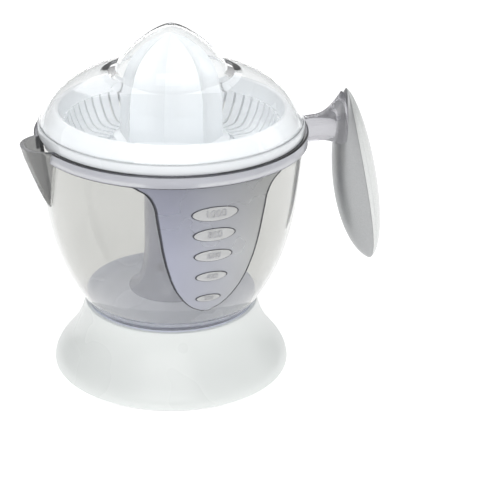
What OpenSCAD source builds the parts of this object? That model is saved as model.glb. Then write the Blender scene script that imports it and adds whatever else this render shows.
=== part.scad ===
// Electric citrus press: a motor base, a lift-off juice jug with a drive shaft
// running up through its hollow column, a slotted strainer, a fluted reamer
// cone and a clear dust cover. Millimetres, +Z up; the origin is on the drive
// axis at the surface that the foot stands on. +X is the handle, -X the spout
// and -Y the scale panel.

/* [Base] */
// Radius of the base at its widest, near the table
base_r = 72.7; // [72:0.1:90]
// Height of the base up to the lip around the jug
base_h = 42.5; // [42:0.5:55]
// Outer radius of the lip around the jug foot
lip_r = 53.3; // [53:0.1:56]
// Depth of the recess that the jug stands in
recess_d = 5; // [3:0.5:6]
// Wall thickness of the base housing
base_wall = 2.6; // [2:0.1:3]
// Height of the skirt's lower edge above the table
skirt_gap = 1.2; // [0.8:0.1:2]
// Thickness of the bottom plate
plate_t = 2.4; // [2:0.1:3]
// Radius of the circle of screws in the bottom plate
plate_screw_r = 59.5; // [58:0.5:62]
// Outer radius of the tower that guides the drive shaft
tower_r = 11.5; // [10.5:0.5:12]
// Height of the tower above the jug's seat
tower_h = 24.5; // [20:0.5:30]
// Radius of the bore in the cord gland
gland_bore_r = 3.3; // [2.5:0.1:4]
// Height of the cord gland's axis
gland_z = 12.5; // [12:0.5:14]

/* [Jug] */
// Outer radius of the jug wall under the rim
jug_r = 79; // [75:1:95]
// Height of the jug from its seat to the top of the rim
jug_h = 115.5; // [105:0.5:140]
// Wall thickness of the jug
jug_wall = 2.5; // [2:0.1:3]
// Outer radius of the foot ring that stands in the base
foot_r = 50.2; // [49:0.1:50.3]
// How far the rim band stands out from the wall
band_out = 2.4; // [1:0.1:3]
// Height of the rim band
band_h = 7.5; // [5:0.5:10]
// Outer radius of the hollow column
col_r = 16.3; // [15:0.1:19]
// Radius of the column's flared foot
col_foot_r = 26; // [22:0.5:30]
// Reach of the spout beyond the wall
spout_reach = 14; // [8:0.5:18]
// Half width of the spout at the rim
spout_w = 17.5; // [12:0.5:20]
// Height of the spout
spout_h = 40; // [30:1:50]
// Height of the raised edge of the scale panel
panel_t = 0.7; // [0.4:0.1:1]

/* [Handle] */
// Height of the arm below the rim, to its middle
arm_drop = 13.5; // [12:0.5:18]
// Half height of the arm
arm_hz = 8.2; // [7:0.1:9]
// Half width of the arm
arm_hy = 6.6; // [5:0.1:8]
// Gap between the jug wall and the grip
finger_gap = 29; // [26:0.5:36]
// Half width of the grip
grip_hy = 12.5; // [10:0.5:14]
// Wall thickness of the grip's shells
grip_wall = 2.6; // [2:0.1:3]

/* [Strainer, reamer and cover] */
// Height of the strainer's flange above the rim
flange_h = 5.5; // [4:0.5:7]
// Height of the crest that stands inside the cover
crest_h = 8.5; // [6:0.5:10]
// Depth of the bowl's floor below the rim
bowl_d = 14; // [12:0.5:17]
// Number of slots around the bowl
slot_n = 56; // [40:2:64]
// Width of a slot
slot_w = 1.7; // [1.2:0.1:2]
// Wall thickness of the strainer
strain_wall = 2; // [1.6:0.1:2.4]
// Radius over the reamer's ribs
reamer_r = 31; // [28:0.5:33]
// Height of the reamer
reamer_h = 65; // [58:0.5:68]
// Number of ribs on the reamer
rib_n = 8; // [6:1:12]
// Depth of the flutes between the ribs
flute_d = 5; // [3:0.5:7]
// Radius of the reamer's lower flange
reamer_flange_r = 35; // [33:0.5:38]
// Height of the dust cover
cover_h = 58.1; // [55:0.5:75]
// Wall thickness of the dust cover
cover_wall = 1.8; // [1.4:0.1:2.2]

/* [Drive] */
// Radius of the drive shaft's round length
shaft_r = 5.5; // [5:0.1:6]
// Size across the flats of the shaft's lower hexagon
hex_low = 10; // [9:0.1:11]
// Size across the flats of the shaft's upper hexagon
hex_top = 9; // [8:0.1:9.5]
// How far the reamer and the shaft go down when pressed
travel = 2.5; // [1.5:0.1:2.8]
// Tooth module of the second stage
mod_two = 0.9; // [0.85:0.01:0.95]
// Teeth of the output gear
out_teeth = 54; // [50:1:58]
// Teeth of the idler's pinion
idler_teeth = 12; // [12:1:14]
// Tooth module of the first stage
mod_one = 0.75; // [0.7:0.01:0.8]
// Teeth of the idler's wheel
wheel_teeth = 44; // [40:1:46]
// Teeth of the motor pinion
pinion_teeth = 12; // [12:1:14]
// Distance from the drive axis to the rotor axis
motor_dist = 32; // [30:0.5:34]
// Direction of the rotor axis, anticlockwise from the handle
motor_dir = 104.5; // [100:0.5:110]
// Thickness of the laminated stator core
core_t = 10; // [8:0.5:10]

/* [Hidden] */
$fn = 96;
// Clearances
run = 0.05;        // radial, between a shaft and its bush
loose = 0.4;       // between pieces that lift apart
fit = 0.15;        // between pieces that are fixed together
backlash = 0.14;   // taken off each tooth
eps = 0.01;
seg = 14;          // straight steps in a curved outline

// Screws, and the holes that clear them
screw_r = 1.3;
screw_clear = 1.6;
screw_head_r = 2.8;
screw_head_t = 1.6;
screw_l = 8;       // length in the post
plate_screw_l = 10;
plate_head_t = 1.2;
post_r = 4;
hang_post_r = 3.6;

// Heights, built up from the table
plate_z = 2;
plate_top = plate_z + plate_t;
seat_z = base_h - recess_d;
ceiling_z = seat_z - base_wall;
tower_z = seat_z + tower_h;
rim_z = seat_z + jug_h;
cover_z = rim_z + flange_h;
crest_z = cover_z + crest_h;
cover_top = cover_z + cover_h;
bowl_z = rim_z - bowl_d;
hub_top = bowl_z + 4;          // top of the strainer's raised hub
hub_under = hub_top - 2.4;
col_top = hub_under - 0.6;
reamer_z = hub_top + travel + 0.6;
reamer_top = reamer_z + reamer_h;
web_z = reamer_z + 4;          // web inside the reamer, above the thrust ring
boss_z = web_z + 4;            // lower end of the boss for the drive socket
collar_top = boss_z - travel - 1.5;
shaft_top = boss_z + 21.5;

// Radii
band_r = jug_r + band_out;
jug_in = jug_r - jug_wall;
recess_r = foot_r + loose;
skirt_in = base_r - base_wall;
plate_r = skirt_in - 0.5;
col_in = col_r - 2;
flange_r = jug_r;
skirt_out = jug_in - loose;
collar_r = shaft_r + 5.1;
collar_in = shaft_r + 3.1;
ring_r = collar_r + 7;
ring_t = 2.6;
boss_r = hex_top / 2 + 7;
socket_r = hex_top / 2 + 4.5;

// Drive levels
plate2_z = 20.5;               // underside of the gear plate
plate2_t = 2;
plate2_top = plate2_z + plate2_t;
wheel_z = plate2_top + 0.8;
wheel_t = 3;
idler_top = wheel_z + wheel_t + 6;
out_z = wheel_z + wheel_t + 1.3;
out_t = idler_top - out_z - 0.3;
core_z = 8.5;
core_top = core_z + core_t;
journal_r = 9;
journal_z = 18.2;
clip_t = 0.7;
clip_z = journal_z - 0.3 - clip_t;
disc_t = 2;
disc_z = clip_z - disc_t;
switch_y = 11.8;
plunger_r = 1.2;
disc_r = switch_y + plunger_r + 0.5;
spring_r = 7;
spring_wire = 0.7;
shaft_low = plate_top + travel + 1.4;

// Places of the drive's axes
rotor_xy = motor_dist * [cos(motor_dir), sin(motor_dir)];
dist_two = mod_two * (out_teeth + idler_teeth) / 2;
dist_one = mod_one * (wheel_teeth + pinion_teeth) / 2;
idler_dir = motor_dir + acos((dist_two * dist_two + motor_dist * motor_dist
    - dist_one * dist_one) / (2 * dist_two * motor_dist));
idler_xy = dist_two * [cos(idler_dir), sin(idler_dir)];
to_rotor = atan2(rotor_xy[1] - idler_xy[1], rotor_xy[0] - idler_xy[0]);
hang_xy = [[42, -14], [-42, -18], [-4, 47]];
core_x = [rotor_xy[0] - 16, rotor_xy[0] + 32];
core_y = [disc_r + 0.5, 2 * rotor_xy[1] - disc_r - 0.5];
limb_w = 7;
yoke_w = 6;
window_w = 8;
window_x = core_x[1] - limb_w - window_w;
motor_screw_xy = [for (y = [core_y[0] + limb_w / 2, core_y[1] - limb_w / 2])
    [core_x[0] + limb_w / 2, y]];
plate_screw_dirs = [30, 150, 210, 330];
switch_top = disc_z - travel - 0.7;

// A point of the cubic curve with control points p, and the curve as n + 1 points
function along(p, t) = let (u = 1 - t)
    u * u * u * p[0] + 3 * u * u * t * p[1] + 3 * u * t * t * p[2] + t * t * t * p[3];
function curve(p, n = seg) = [for (i = [0 : n]) along(p, i / n)];
function reversed(a) = [for (i = [len(a) - 1 : -1 : 0]) a[i]];
function shifted(a, v) = [for (p = a) p + v];

// The jug wall's outer line, from the foot to the rim
jug_z0 = base_h + 1;
band_z = rim_z - band_h;
wall_line = curve([[foot_r + 0.8, jug_z0], [jug_r - 1.2, jug_z0 + 0.356 * (band_z - jug_z0)],
    [jug_r - 3.6, jug_z0 + 0.702 * (band_z - jug_z0)], [jug_r, band_z]]);
wall_table = [for (p = wall_line) [p[1], p[0]]];
function wall_r(z) = lookup(z, wall_table);

module spin(points) { rotate_extrude() polygon(points); }
module hexagon(flats, h) { cylinder(r = flats / sqrt(3), h = h, $fn = 6); }
module tube(r_out, r_in, h) {
    difference() {
        cylinder(r = r_out, h = h);
        translate([0, 0, -1]) cylinder(r = r_in, h = h + 2);
    }
}
module at(xy, z = 0) { translate([xy[0], xy[1], z]) children(); }
module around(dirs, r) { for (a = dirs) rotate(a) translate([r, 0, 0]) children(); }

// ---- Motor base ----

side_line = curve([[base_r, plate_z + 0.7], [base_r - 0.8, 0.344 * base_h],
    [lip_r + 5.4, 0.384 * base_h], [lip_r, base_h - 1]], 18);
side_inner = [for (p = side_line) if (p[1] < ceiling_z - 0.6) p - [base_wall, 0]];

module base_solid() {
    spin(concat([[0, skirt_gap], [base_r - 1.2, skirt_gap]], side_line,
        [[lip_r - 0.8, base_h], [recess_r, base_h], [recess_r, seat_z], [0, seat_z]]));
}
module base_hollow() {
    spin(concat([[0, skirt_gap - 1], [skirt_in, skirt_gap - 1]], side_inner,
        [[side_inner[len(side_inner) - 1][0] - 0.6, ceiling_z], [0, ceiling_z]]));
}
bush_l = 11;
bush_step = 1.2;   // ledge that the bush sits on
seal_t = 3;
gland_wall = 2.8;
gland_r = gland_bore_r + gland_wall;
gland_len = 14;
gland_flange = 1.8;
gland_y = base_r - gland_len + 1;
bush_r = shaft_r + 2.6;
bush_z = tower_z - seal_t - bush_l;
module base_housing() {
    color("white") difference() {
        union() {
            difference() {
                union() {
                    base_solid();
                    translate([0, 0, seat_z - 1]) cylinder(r = tower_r, h = tower_h + 1);
                }
                base_hollow();
            }
            // posts for the bottom plate's screws
            intersection() {
                translate([0, 0, plate_top]) around(plate_screw_dirs, plate_screw_r)
                    cylinder(r = post_r, h = ceiling_z - plate_top, $fn = 32);
                base_solid();
            }
            // posts that the gear plate hangs from
            for (p = hang_xy) at(p, plate2_top)
                cylinder(r = hang_post_r, h = ceiling_z - plate2_top + 1, $fn = 32);
        }
        translate([0, 0, -1]) cylinder(r = bush_r - bush_step, h = tower_z + 2);
        translate([0, 0, bush_z]) cylinder(r = bush_r, h = tower_z);
        translate([0, 0, plate_top - 1]) around(plate_screw_dirs, plate_screw_r)
            cylinder(r = screw_r, h = plate_screw_l + 1, $fn = 24);
        for (p = hang_xy) at(p, plate2_top - 1) cylinder(r = screw_r, h = screw_l + 1, $fn = 24);
        translate([0, gland_y - 3, gland_z]) rotate([-90, 0, 0])
            cylinder(r = gland_r, h = gland_len + 6, $fn = 48);
    }
}

spring_rim = 1.3;      // gap around the spring's foot, and the width of the ring there
foot_out = plate_r - 1;
foot_in = foot_out - 4.2;
vent_w = 2.4;
vent_l = 18;
vent_pitch = 5;
module bottom_plate() {
    color("gainsboro") difference() {
        union() {
            translate([0, 0, plate_z]) cylinder(r = plate_r, h = plate_t);
            // seat ring for the return spring
            translate([0, 0, plate_top - eps])
                tube(spring_r + 2 * spring_rim, spring_r + spring_rim, 2.6);
        }
        translate([0, 0, -1]) around(plate_screw_dirs, plate_screw_r)
            cylinder(r = screw_clear, h = plate_top + 4, $fn = 24);
        translate([0, 0, plate_z - 1]) around(plate_screw_dirs, plate_screw_r)
            cylinder(r = screw_head_r + loose, h = plate_head_t + 1, $fn = 32);
        // groove for the foot ring
        translate([0, 0, plate_z - 1]) tube(foot_out, foot_in, 2);
        // vents under the motor
        for (i = [-3 : 3])
            translate([rotor_xy[0] + i * vent_pitch - vent_w / 2, rotor_xy[1] - vent_l / 2, 0])
                cube([vent_w, vent_l, plate_top + 4]);
    }
}

module foot_ring() {
    color("dimgray") tube(foot_out, foot_in, plate_z + 1);
}

module plate_screws() {
    color("silver") around(plate_screw_dirs, plate_screw_r) {
        translate([0, 0, plate_z]) cylinder(r = screw_head_r, h = plate_head_t, $fn = 32);
        translate([0, 0, plate_z + plate_head_t - eps])
            cylinder(r = screw_r, h = plate_screw_l, $fn = 24);
    }
}

module cord_gland() {
    color("gainsboro") translate([0, gland_y, gland_z]) rotate([-90, 0, 0]) difference() {
        union() {
            cylinder(r = gland_r, h = gland_len, $fn = 48);
            cylinder(r = gland_r + gland_flange, h = 2, $fn = 48);
        }
        translate([0, 0, -1]) cylinder(r = gland_bore_r, h = gland_len + 2, $fn = 48);
    }
}

block_size = [15, 10, 9];
block_x = 38;
module terminal_block() {
    color("ivory") difference() {
        translate([block_x, -block_size[1] / 2, plate_top]) cube(block_size);
        // a way for the wire and a screw hole down to it, twice
        for (s = [-1, 1]) translate([block_x, s * block_size[1] / 4, plate_top + 4]) {
            translate([-1, 0, 0]) rotate([0, 90, 0])
                cylinder(r = screw_r, h = block_size[0] + 2, $fn = 24);
            translate([block_size[0] / 2, 0, 0])
                cylinder(r = screw_clear, h = block_size[2], $fn = 24);
        }
    }
}

module shaft_bush() {
    color("peru") translate([0, 0, bush_z]) tube(bush_r, shaft_r + run, bush_l);
}
module shaft_seal() {
    color("dimgray") spin([[bush_r, tower_z - seal_t], [bush_r, tower_z],
        [bush_r - bush_step, tower_z], [shaft_r + run + 0.9, tower_z - seal_t + 1],
        [shaft_r + run + 0.2, tower_z - 0.6], [shaft_r + run, tower_z - 0.6],
        [shaft_r + run, tower_z - seal_t]]);
}

// ---- Gear plate and motor ----

gear_plate_r = 50;
boss_wall = 3;
rotor_bush_r = 3.5;
pin_r = 1.5;
rotor_shaft_r = 1.6;
module gear_plate() {
    color("lightgray") difference() {
        union() {
            translate([0, 0, plate2_z]) cylinder(r = gear_plate_r, h = plate2_t);
            translate([0, 0, journal_z + 0.2])
                cylinder(r = journal_r + boss_wall, h = plate2_z - journal_z);
            at(rotor_xy, plate2_z - 1) cylinder(r = rotor_bush_r + 1.5, h = 1.5, $fn = 48);
            for (p = motor_screw_xy) at(p, core_top)
                cylinder(r = boss_wall, h = plate2_z - core_top + eps, $fn = 32);
        }
        translate([0, 0, journal_z - 1]) cylinder(r = journal_r + run, h = 20);
        at(rotor_xy, plate2_z - 3) cylinder(r = rotor_bush_r, h = 8, $fn = 48);
        at(idler_xy, plate2_z - 3) cylinder(r = pin_r, h = 8, $fn = 32);
        for (p = hang_xy) at(p, plate2_z - 1) cylinder(r = screw_clear, h = 4, $fn = 24);
        for (p = motor_screw_xy) at(p, core_top - 1) cylinder(r = screw_r, h = 8, $fn = 24);
        // window for the coil
        translate([window_x - 3, core_y[0] + 1, plate2_z - 1])
            cube([gear_plate_r, core_y[1] - core_y[0] - 2, plate2_t + 2]);
    }
}
module gear_plate_screws() {
    color("silver") for (p = hang_xy) at(p) {
        translate([0, 0, plate2_z - screw_head_t])
            cylinder(r = screw_head_r, h = screw_head_t, $fn = 32);
        translate([0, 0, plate2_z - eps]) cylinder(r = screw_r, h = screw_l, $fn = 24);
    }
}
module idler_pin() {
    color("silver") at(idler_xy, plate2_z)
        cylinder(r = pin_r, h = idler_top + 0.8 - plate2_z, $fn = 48);
}

rotor_r = 12;
through = 30;          // height of a cut that goes right through the motor
module stator_core() {
    color("dimgray") difference() {
        translate([core_x[0], core_y[0], core_z])
            cube([core_x[1] - core_x[0], core_y[1] - core_y[0], core_t]);
        at(rotor_xy, 0) cylinder(r = rotor_r + 0.5, h = through);
        translate([window_x, core_y[0] + yoke_w, 0])
            cube([window_w, core_y[1] - core_y[0] - 2 * yoke_w, through]);
        for (p = motor_screw_xy) at(p) cylinder(r = screw_clear, h = through, $fn = 24);
    }
}
// The bobbin and the winding wrap the core's free limb
limb_mid = [core_x[1] - limb_w / 2, (core_y[0] + core_y[1]) / 2, core_z + core_t / 2];
module wrap(grow_out, grow_in, len) {
    translate(limb_mid) difference() {
        cube([limb_w + 2 * grow_out, len, core_t + 2 * grow_out], center = true);
        cube([limb_w + 2 * grow_in, len + 2, core_t + 2 * grow_in], center = true);
    }
}
coil_len = core_y[1] - core_y[0] - 2 * yoke_w - 1;
cheek_t = 1.2;
bobbin_out = 1.1;      // the bobbin's wall and the winding, as measured out from the limb
winding_out = 3.4;
module coil_bobbin() {
    color("ivory") {
        wrap(bobbin_out, 0.1, coil_len);
        for (s = [-1, 1]) translate([0, s * (coil_len - cheek_t) / 2, 0])
            wrap(winding_out + 0.4, bobbin_out - 0.1, cheek_t);
    }
}
module coil_winding() {
    color("chocolate") wrap(winding_out, bobbin_out, coil_len - 2 * cheek_t);
}

bracket_t = 1.6;
bracket_arm_t = 1.2;
bracket_z = core_z - bracket_t;
module motor_bracket() {
    color("silver") difference() {
        union() {
            translate([core_x[0], core_y[0], bracket_z])
                cube([limb_w, core_y[1] - core_y[0], bracket_t]);
            translate([core_x[0] + 3, rotor_xy[1] - 5, bracket_z])
                cube([rotor_xy[0] - core_x[0] - 3, 10, bracket_arm_t]);
            at(rotor_xy, bracket_z) cylinder(r = 5, h = bracket_arm_t, $fn = 48);
        }
        at(rotor_xy, 0) cylinder(r = rotor_bush_r, h = through, $fn = 48);
        for (p = motor_screw_xy) at(p) cylinder(r = screw_clear, h = through, $fn = 24);
    }
}
module motor_screws() {
    color("silver") for (p = motor_screw_xy) at(p) {
        translate([0, 0, bracket_z - screw_head_t])
            cylinder(r = screw_head_r, h = screw_head_t, $fn = 32);
        translate([0, 0, bracket_z - eps])
            cylinder(r = screw_r, h = plate2_top - bracket_z, $fn = 24);
    }
}
module rotor_bushes() {
    color("peru") {
        at(rotor_xy, bracket_z - 0.8) tube(rotor_bush_r, rotor_shaft_r + run, 2);
        at(rotor_xy, plate2_z - 1) tube(rotor_bush_r, rotor_shaft_r + run, 3);
    }
}

module rotor_core() {
    color("silver") at(rotor_xy) {
        translate([0, 0, core_z]) tube(rotor_r, rotor_shaft_r, core_t);
    }
}
module rotor_shaft() {
    color("lightgray") at(rotor_xy, plate_top + 0.8)
        cylinder(r = rotor_shaft_r, h = wheel_z + wheel_t + 0.4 - plate_top - 0.8, $fn = 48);
}

// ---- Gears ----

pressure = 25;
// An involute point at roll angle a, and a tooth flank from root to tip
function roll(rb, a) = rb * [cos(a) + a * PI / 180 * sin(a), sin(a) - a * PI / 180 * cos(a)];
function roll_angle(rb, r) = sqrt(max(0, r * r / rb / rb - 1)) * 180 / PI;
function turned(p, a) = [p[0] * cos(a) - p[1] * sin(a), p[0] * sin(a) + p[1] * cos(a)];
function gear_points(n, m) = let (
    rp = n * m / 2, rb = rp * cos(pressure), ra = rp + 0.9 * m, rr = rp - 1.2 * m,
    lead = tan(pressure) * 180 / PI - pressure,
    half = 90 / n - backlash / 2 / rp * 180 / PI + lead,
    a0 = roll_angle(rb, max(rb, rr)), a1 = roll_angle(rb, ra),
    flank = [for (i = [0 : 4]) turned(roll(rb, a0 + (a1 - a0) * i / 4), -half)],
    root = rr * [cos(-half), sin(-half)])
    [for (k = [0 : n - 1]) each [for (p = concat([root], flank,
        reversed([for (q = flank) [q[0], -q[1]]]), [[root[0], -root[1]]]))
        turned(p, k * 360 / n)]];
module gear(n, m, t) { linear_extrude(t) polygon(gear_points(n, m)); }

module motor_pinion() {
    color("goldenrod") at(rotor_xy, wheel_z) difference() {
        rotate(to_rotor + 180 + 180 / pinion_teeth) gear(pinion_teeth, mod_one, wheel_t);
        translate([0, 0, -1]) cylinder(r = rotor_shaft_r, h = wheel_t + 2, $fn = 48);
    }
}
module idler_gear() {
    color("ivory") at(idler_xy, wheel_z) difference() {
        union() {
            rotate(to_rotor) gear(wheel_teeth, mod_one, wheel_t);
            rotate(idler_dir + 180 + 180 / idler_teeth)
                gear(idler_teeth, mod_two, idler_top - wheel_z);
        }
        translate([0, 0, -1]) cylinder(r = pin_r + run, h = 20, $fn = 48);
    }
}
hub_r = journal_r + 1.6;
module output_gear() {
    color("ivory") difference() {
        union() {
            translate([0, 0, out_z]) rotate(idler_dir) gear(out_teeth, mod_two, out_t);
            translate([0, 0, plate2_top + 0.1])
                cylinder(r = hub_r, h = ceiling_z - 0.5 - plate2_top - 0.1);
            translate([0, 0, journal_z]) cylinder(r = journal_r, h = out_z - journal_z);
        }
        translate([0, 0, journal_z - 1]) hexagon(hex_low + 2 * fit, ceiling_z - journal_z + 2);
    }
}

// ---- Drive shaft, switch and return spring ----

round_z = ceiling_z + 2;
groove_d = 0.7;
module drive_shaft() {
    color("whitesmoke") difference() {
        union() {
            translate([0, 0, shaft_low]) hexagon(hex_low, round_z - shaft_low);
            translate([0, 0, round_z]) cylinder(r = shaft_r, h = boss_z - 2 - round_z);
            translate([0, 0, boss_z - 2 - eps])
                hexagon(hex_top, shaft_top - boss_z + 2 + eps);
        }
        translate([0, 0, clip_z]) tube(hex_low, hex_low / 2 - groove_d, clip_t);
    }
}
clip_r = hex_low / 2 + 3;
clip_gap = 3;
module shaft_clip() {
    color("silver") translate([0, 0, clip_z]) difference() {
        tube(clip_r, hex_low / 2 - groove_d, clip_t);
        translate([0, -clip_gap / 2, -1]) cube([clip_r + 2, clip_gap, clip_t + 2]);
    }
}
module press_disc() {
    color("ivory") translate([0, 0, disc_z]) difference() {
        cylinder(r = disc_r, h = disc_t);
        translate([0, 0, -1]) hexagon(hex_low, disc_t + 2);
    }
}
turns = 5;
steps = 16;
sides = 8;
module return_spring() {
    lift = disc_z - plate_top - 2 * spring_wire;
    count = turns * steps;
    points = [for (i = [0 : count]) for (j = [0 : sides - 1]) let (
        a = i * 360 / steps, b = j * 360 / sides, r = spring_r + spring_wire * cos(b))
        [r * cos(a), r * sin(a),
         plate_top + spring_wire + lift * i / count + spring_wire * sin(b)]];
    skin = [for (i = [0 : count - 1]) for (j = [0 : sides - 1]) let (k = (j + 1) % sides)
        [i * sides + j, i * sides + k, (i + 1) * sides + k, (i + 1) * sides + j]];
    ends = [[for (j = [sides - 1 : -1 : 0]) j], [for (j = [0 : sides - 1]) count * sides + j]];
    color("silver") polyhedron(points, concat(skin, ends));
}
switch_w = 20;
switch_l = 15.6;
switch_screw_xy = [for (x = [-6.5, 6.5]) [x, -switch_y - 9]];
plunger_z = plate_top + 1.2 + travel;
module switch_body() {
    color("black") difference() {
        translate([-switch_w / 2, -switch_y + 1.6 - switch_l, plate_top])
            cube([switch_w, switch_l, switch_top - plate_top]);
        translate([0, -switch_y, plate_top + 1])
            cylinder(r = plunger_r + run, h = switch_top, $fn = 32);
        for (p = switch_screw_xy) at(p) cylinder(r = screw_r, h = switch_top + 5, $fn = 24);
    }
}
module switch_screws() {
    color("silver") for (p = switch_screw_xy) at(p, plate_top) {
        cylinder(r = screw_r, h = switch_top - plate_top, $fn = 24);
        translate([0, 0, switch_top - plate_top])
            cylinder(r = screw_head_r - 0.4, h = screw_head_t - 0.2, $fn = 32);
    }
}
module switch_plunger() {
    color("red") translate([0, -switch_y, plunger_z])
        cylinder(r = plunger_r, h = disc_z - plunger_z, $fn = 32);
}

// ---- Jug ----

spout_z0 = rim_z - spout_h;
function rise(z) = max(0.001, (z - spout_z0) / spout_h);
// One level of the spout: an arch from the wall out to the keel
function arch(z, inset) = let (t = rise(z), w = max(0.6, spout_w * pow(t, 1.15) - inset),
    x0 = wall_r(z) - 5, x1 = max(x0 + 0.5, wall_r(z) + spout_reach * pow(t, 0.85) - inset))
    [for (i = [0 : 12]) let (a = i * 15)
        [-(x0 + (x1 - x0) * pow(sin(a), 0.85)), w * cos(a) * (1 - 0.25 * sin(a)), z]];
module loft(rings) {
    n = len(rings[0]);
    m = len(rings);
    skin = [for (i = [0 : m - 2]) for (j = [0 : n - 1]) let (k = (j + 1) % n)
        [i * n + j, (i + 1) * n + j, (i + 1) * n + k, i * n + k]];
    ends = [[for (j = [0 : n - 1]) j], [for (j = [n - 1 : -1 : 0]) (m - 1) * n + j]];
    polyhedron([for (r = rings) each r], concat(skin, ends));
}
module spout(inset, low, high) {
    loft([for (i = [0 : 9]) arch(low + (high - low) * i / 9, inset)]);
}

// The scale panel's outline: half angle from the middle, height above the seat
panel_turn = -3.5;     // the middle of the panel, from -Y towards the handle
panel_half = [[0, 0.205], [5, 0.215], [8.5, 0.24], [12.3, 0.281], [16, 0.343], [18.6, 0.41],
    [21, 0.51], [22.5, 0.6], [23.6, 0.69], [24.5, 0.76], [25.3, 0.83], [27.5, 0.885],
    [31, 0.92], [36, 0.932]];
function panel_point(q, side) = let (z = seat_z + q[1] * jug_h)
    [side * wall_r(z) * sin(q[0]), z];
panel_line = concat([for (q = panel_half) panel_point(q, 1)],
    reversed([for (i = [1 : len(panel_half) - 1]) panel_point(panel_half[i], -1)]));

module jug_outer() {
    spin(concat([[0, seat_z], [foot_r, seat_z], [foot_r, jug_z0 - 0.4]], wall_line,
        [[band_r - 0.6, band_z], [band_r, band_z + 0.8],
         [band_r, rim_z - 0.8], [band_r - 0.8, rim_z], [0, rim_z]]));
}
floor_z = jug_z0 + 2;
col_line = curve([[col_foot_r, floor_z + 5], [col_foot_r - 7, floor_z + 8],
    [col_r + 0.6, floor_z + 18], [col_r, floor_z + 32]], 10);
module jug_hollow() {
    spin(concat([[jug_in, rim_z + 1], [col_r, rim_z + 1]], reversed(col_line),
        [[foot_r - 12, floor_z + 1.2], [wall_r(floor_z) - jug_wall - 3, floor_z]],
        [for (p = wall_line) if (p[1] > floor_z + 2) p - [jug_wall, 0]]));
}
module jug_under() {
    spin(concat([[0, seat_z - 1], [foot_r - jug_wall, seat_z - 1],
        [foot_r - jug_wall, jug_z0 - 1], [foot_r - 12, floor_z - 1.6]],
        [for (p = col_line) p - [2 + 0.6 * (col_top - p[1]) / (col_top - floor_z), 1.2]],
        [[col_in, col_top + 1], [0, col_top + 1]]));
}
// An oval bar along X; the arm that carries the grip
module oval_bar(x0, x1, hy, hz, z) {
    translate([x0, 0, z]) rotate([90, 0, 90]) linear_extrude(x1 - x0)
        polygon([for (i = [0 : 31]) let (a = i * 11.25)
            [hy * sign(cos(a)) * pow(abs(cos(a)), 0.75),
             hz * sign(sin(a)) * pow(abs(sin(a)), 0.75)]]);
}
arm_z = rim_z - arm_drop;
grip_x = jug_r + finger_gap;
arm_end = grip_x + grip_wall + 3;
arm_screw_z = [arm_z - 4, arm_z + 4];
arm_screw_l = 3.5;     // length in the arm's end
module jug() {
    color("lavender", 0.5) difference() {
        union() {
            jug_outer();
            spout(0, spout_z0, rim_z);
            intersection() {
                spin(concat([[0, jug_z0]], shifted(wall_line, [panel_t, 0]), [[0, band_z]]));
                rotate([90, 0, panel_turn]) linear_extrude(jug_r + 5) polygon(panel_line);
            }
            oval_bar(jug_r - 4, arm_end, arm_hy, arm_hz, arm_z);
        }
        jug_hollow();
        jug_under();
        translate([0, 0, col_top]) cylinder(r = col_r + 0.2, h = jug_h);
        spout(jug_wall, spout_z0 + 6, rim_z + 1);
        for (z = arm_screw_z) translate([arm_end - arm_screw_l - 1, 0, z]) rotate([0, 90, 0])
            cylinder(r = screw_r, h = 20, $fn = 24);
    }
}

// ---- Handle ----

// The grip's inner and outer lines seen from the side, from its top to its foot
grip_top = [grip_x + 8.4, arm_z + 23];
grip_low = [grip_x + 29.8, arm_z - 95];
grip_in = [grip_top, [grip_x - 9, arm_z - 24], [grip_x + 10, arm_z - 84], grip_low];
grip_out = [grip_top, [grip_x + 23.8, arm_z + 9.6], [grip_x + 47, arm_z - 84], grip_low];
grip_seam = [grip_top + [-1.2, -1.5], [grip_x + 12.3, arm_z - 2],
    [grip_x + 25, arm_z - 57.2], grip_low + [0.8, 0.2]];
grip_n = 20;
block_wall = 2.4;      // wall around the arm's end
module grip_solid(inset) {
    wide = grip_hy - inset;
    first = inset > 0 ? 4 : 1;
    loft([for (i = [first : grip_n - first]) let (
        t = (1 - cos(180 * i / grip_n)) / 2,
        inner = along(grip_in, t), outer = along(grip_out, t),
        mid = (inner + outer) / 2, half = (outer - inner) / 2,
        shrink = 1 - inset / norm(half),
        w = wide * pow(sin(180 * t), 0.6))
        [for (j = [0 : 23]) let (a = j * 15)
            [mid[0] + half[0] * shrink * cos(a), -w * sin(a), mid[1] + half[1] * shrink * cos(a)]]]);
}
module grip_side(outside, shift) {
    line = shifted(curve(grip_seam, 16), [shift, 0]);
    edge = outside ? grip_x + 80 : grip_x - 40;
    rotate([90, 0, 0]) translate([0, 0, -40]) linear_extrude(80)
        polygon(concat([[edge, arm_z + 60], [line[0][0] - 6, arm_z + 60]], line,
            [[line[16][0] + 1, arm_z - 130], [edge, arm_z - 130]]));
}
module handle_grip() {
    color("silver") difference() {
        intersection() {
            grip_solid(0);
            grip_side(false, -fit);
        }
        difference() {
            grip_solid(grip_wall);
            // the block that takes the arm's end
            oval_bar(grip_x - 5, arm_end + block_wall, arm_hy + block_wall, arm_hz + block_wall,
                arm_z);
        }
        oval_bar(grip_x - 20, arm_end, arm_hy + fit, arm_hz + fit, arm_z);
        for (z = arm_screw_z) translate([arm_end - 1, 0, z]) rotate([0, 90, 0])
            cylinder(r = screw_clear, h = 20, $fn = 24);
    }
}
module handle_cap() {
    color("gainsboro") difference() {
        intersection() {
            grip_solid(0);
            grip_side(true, 0);
        }
        grip_solid(grip_wall);
    }
}
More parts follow.
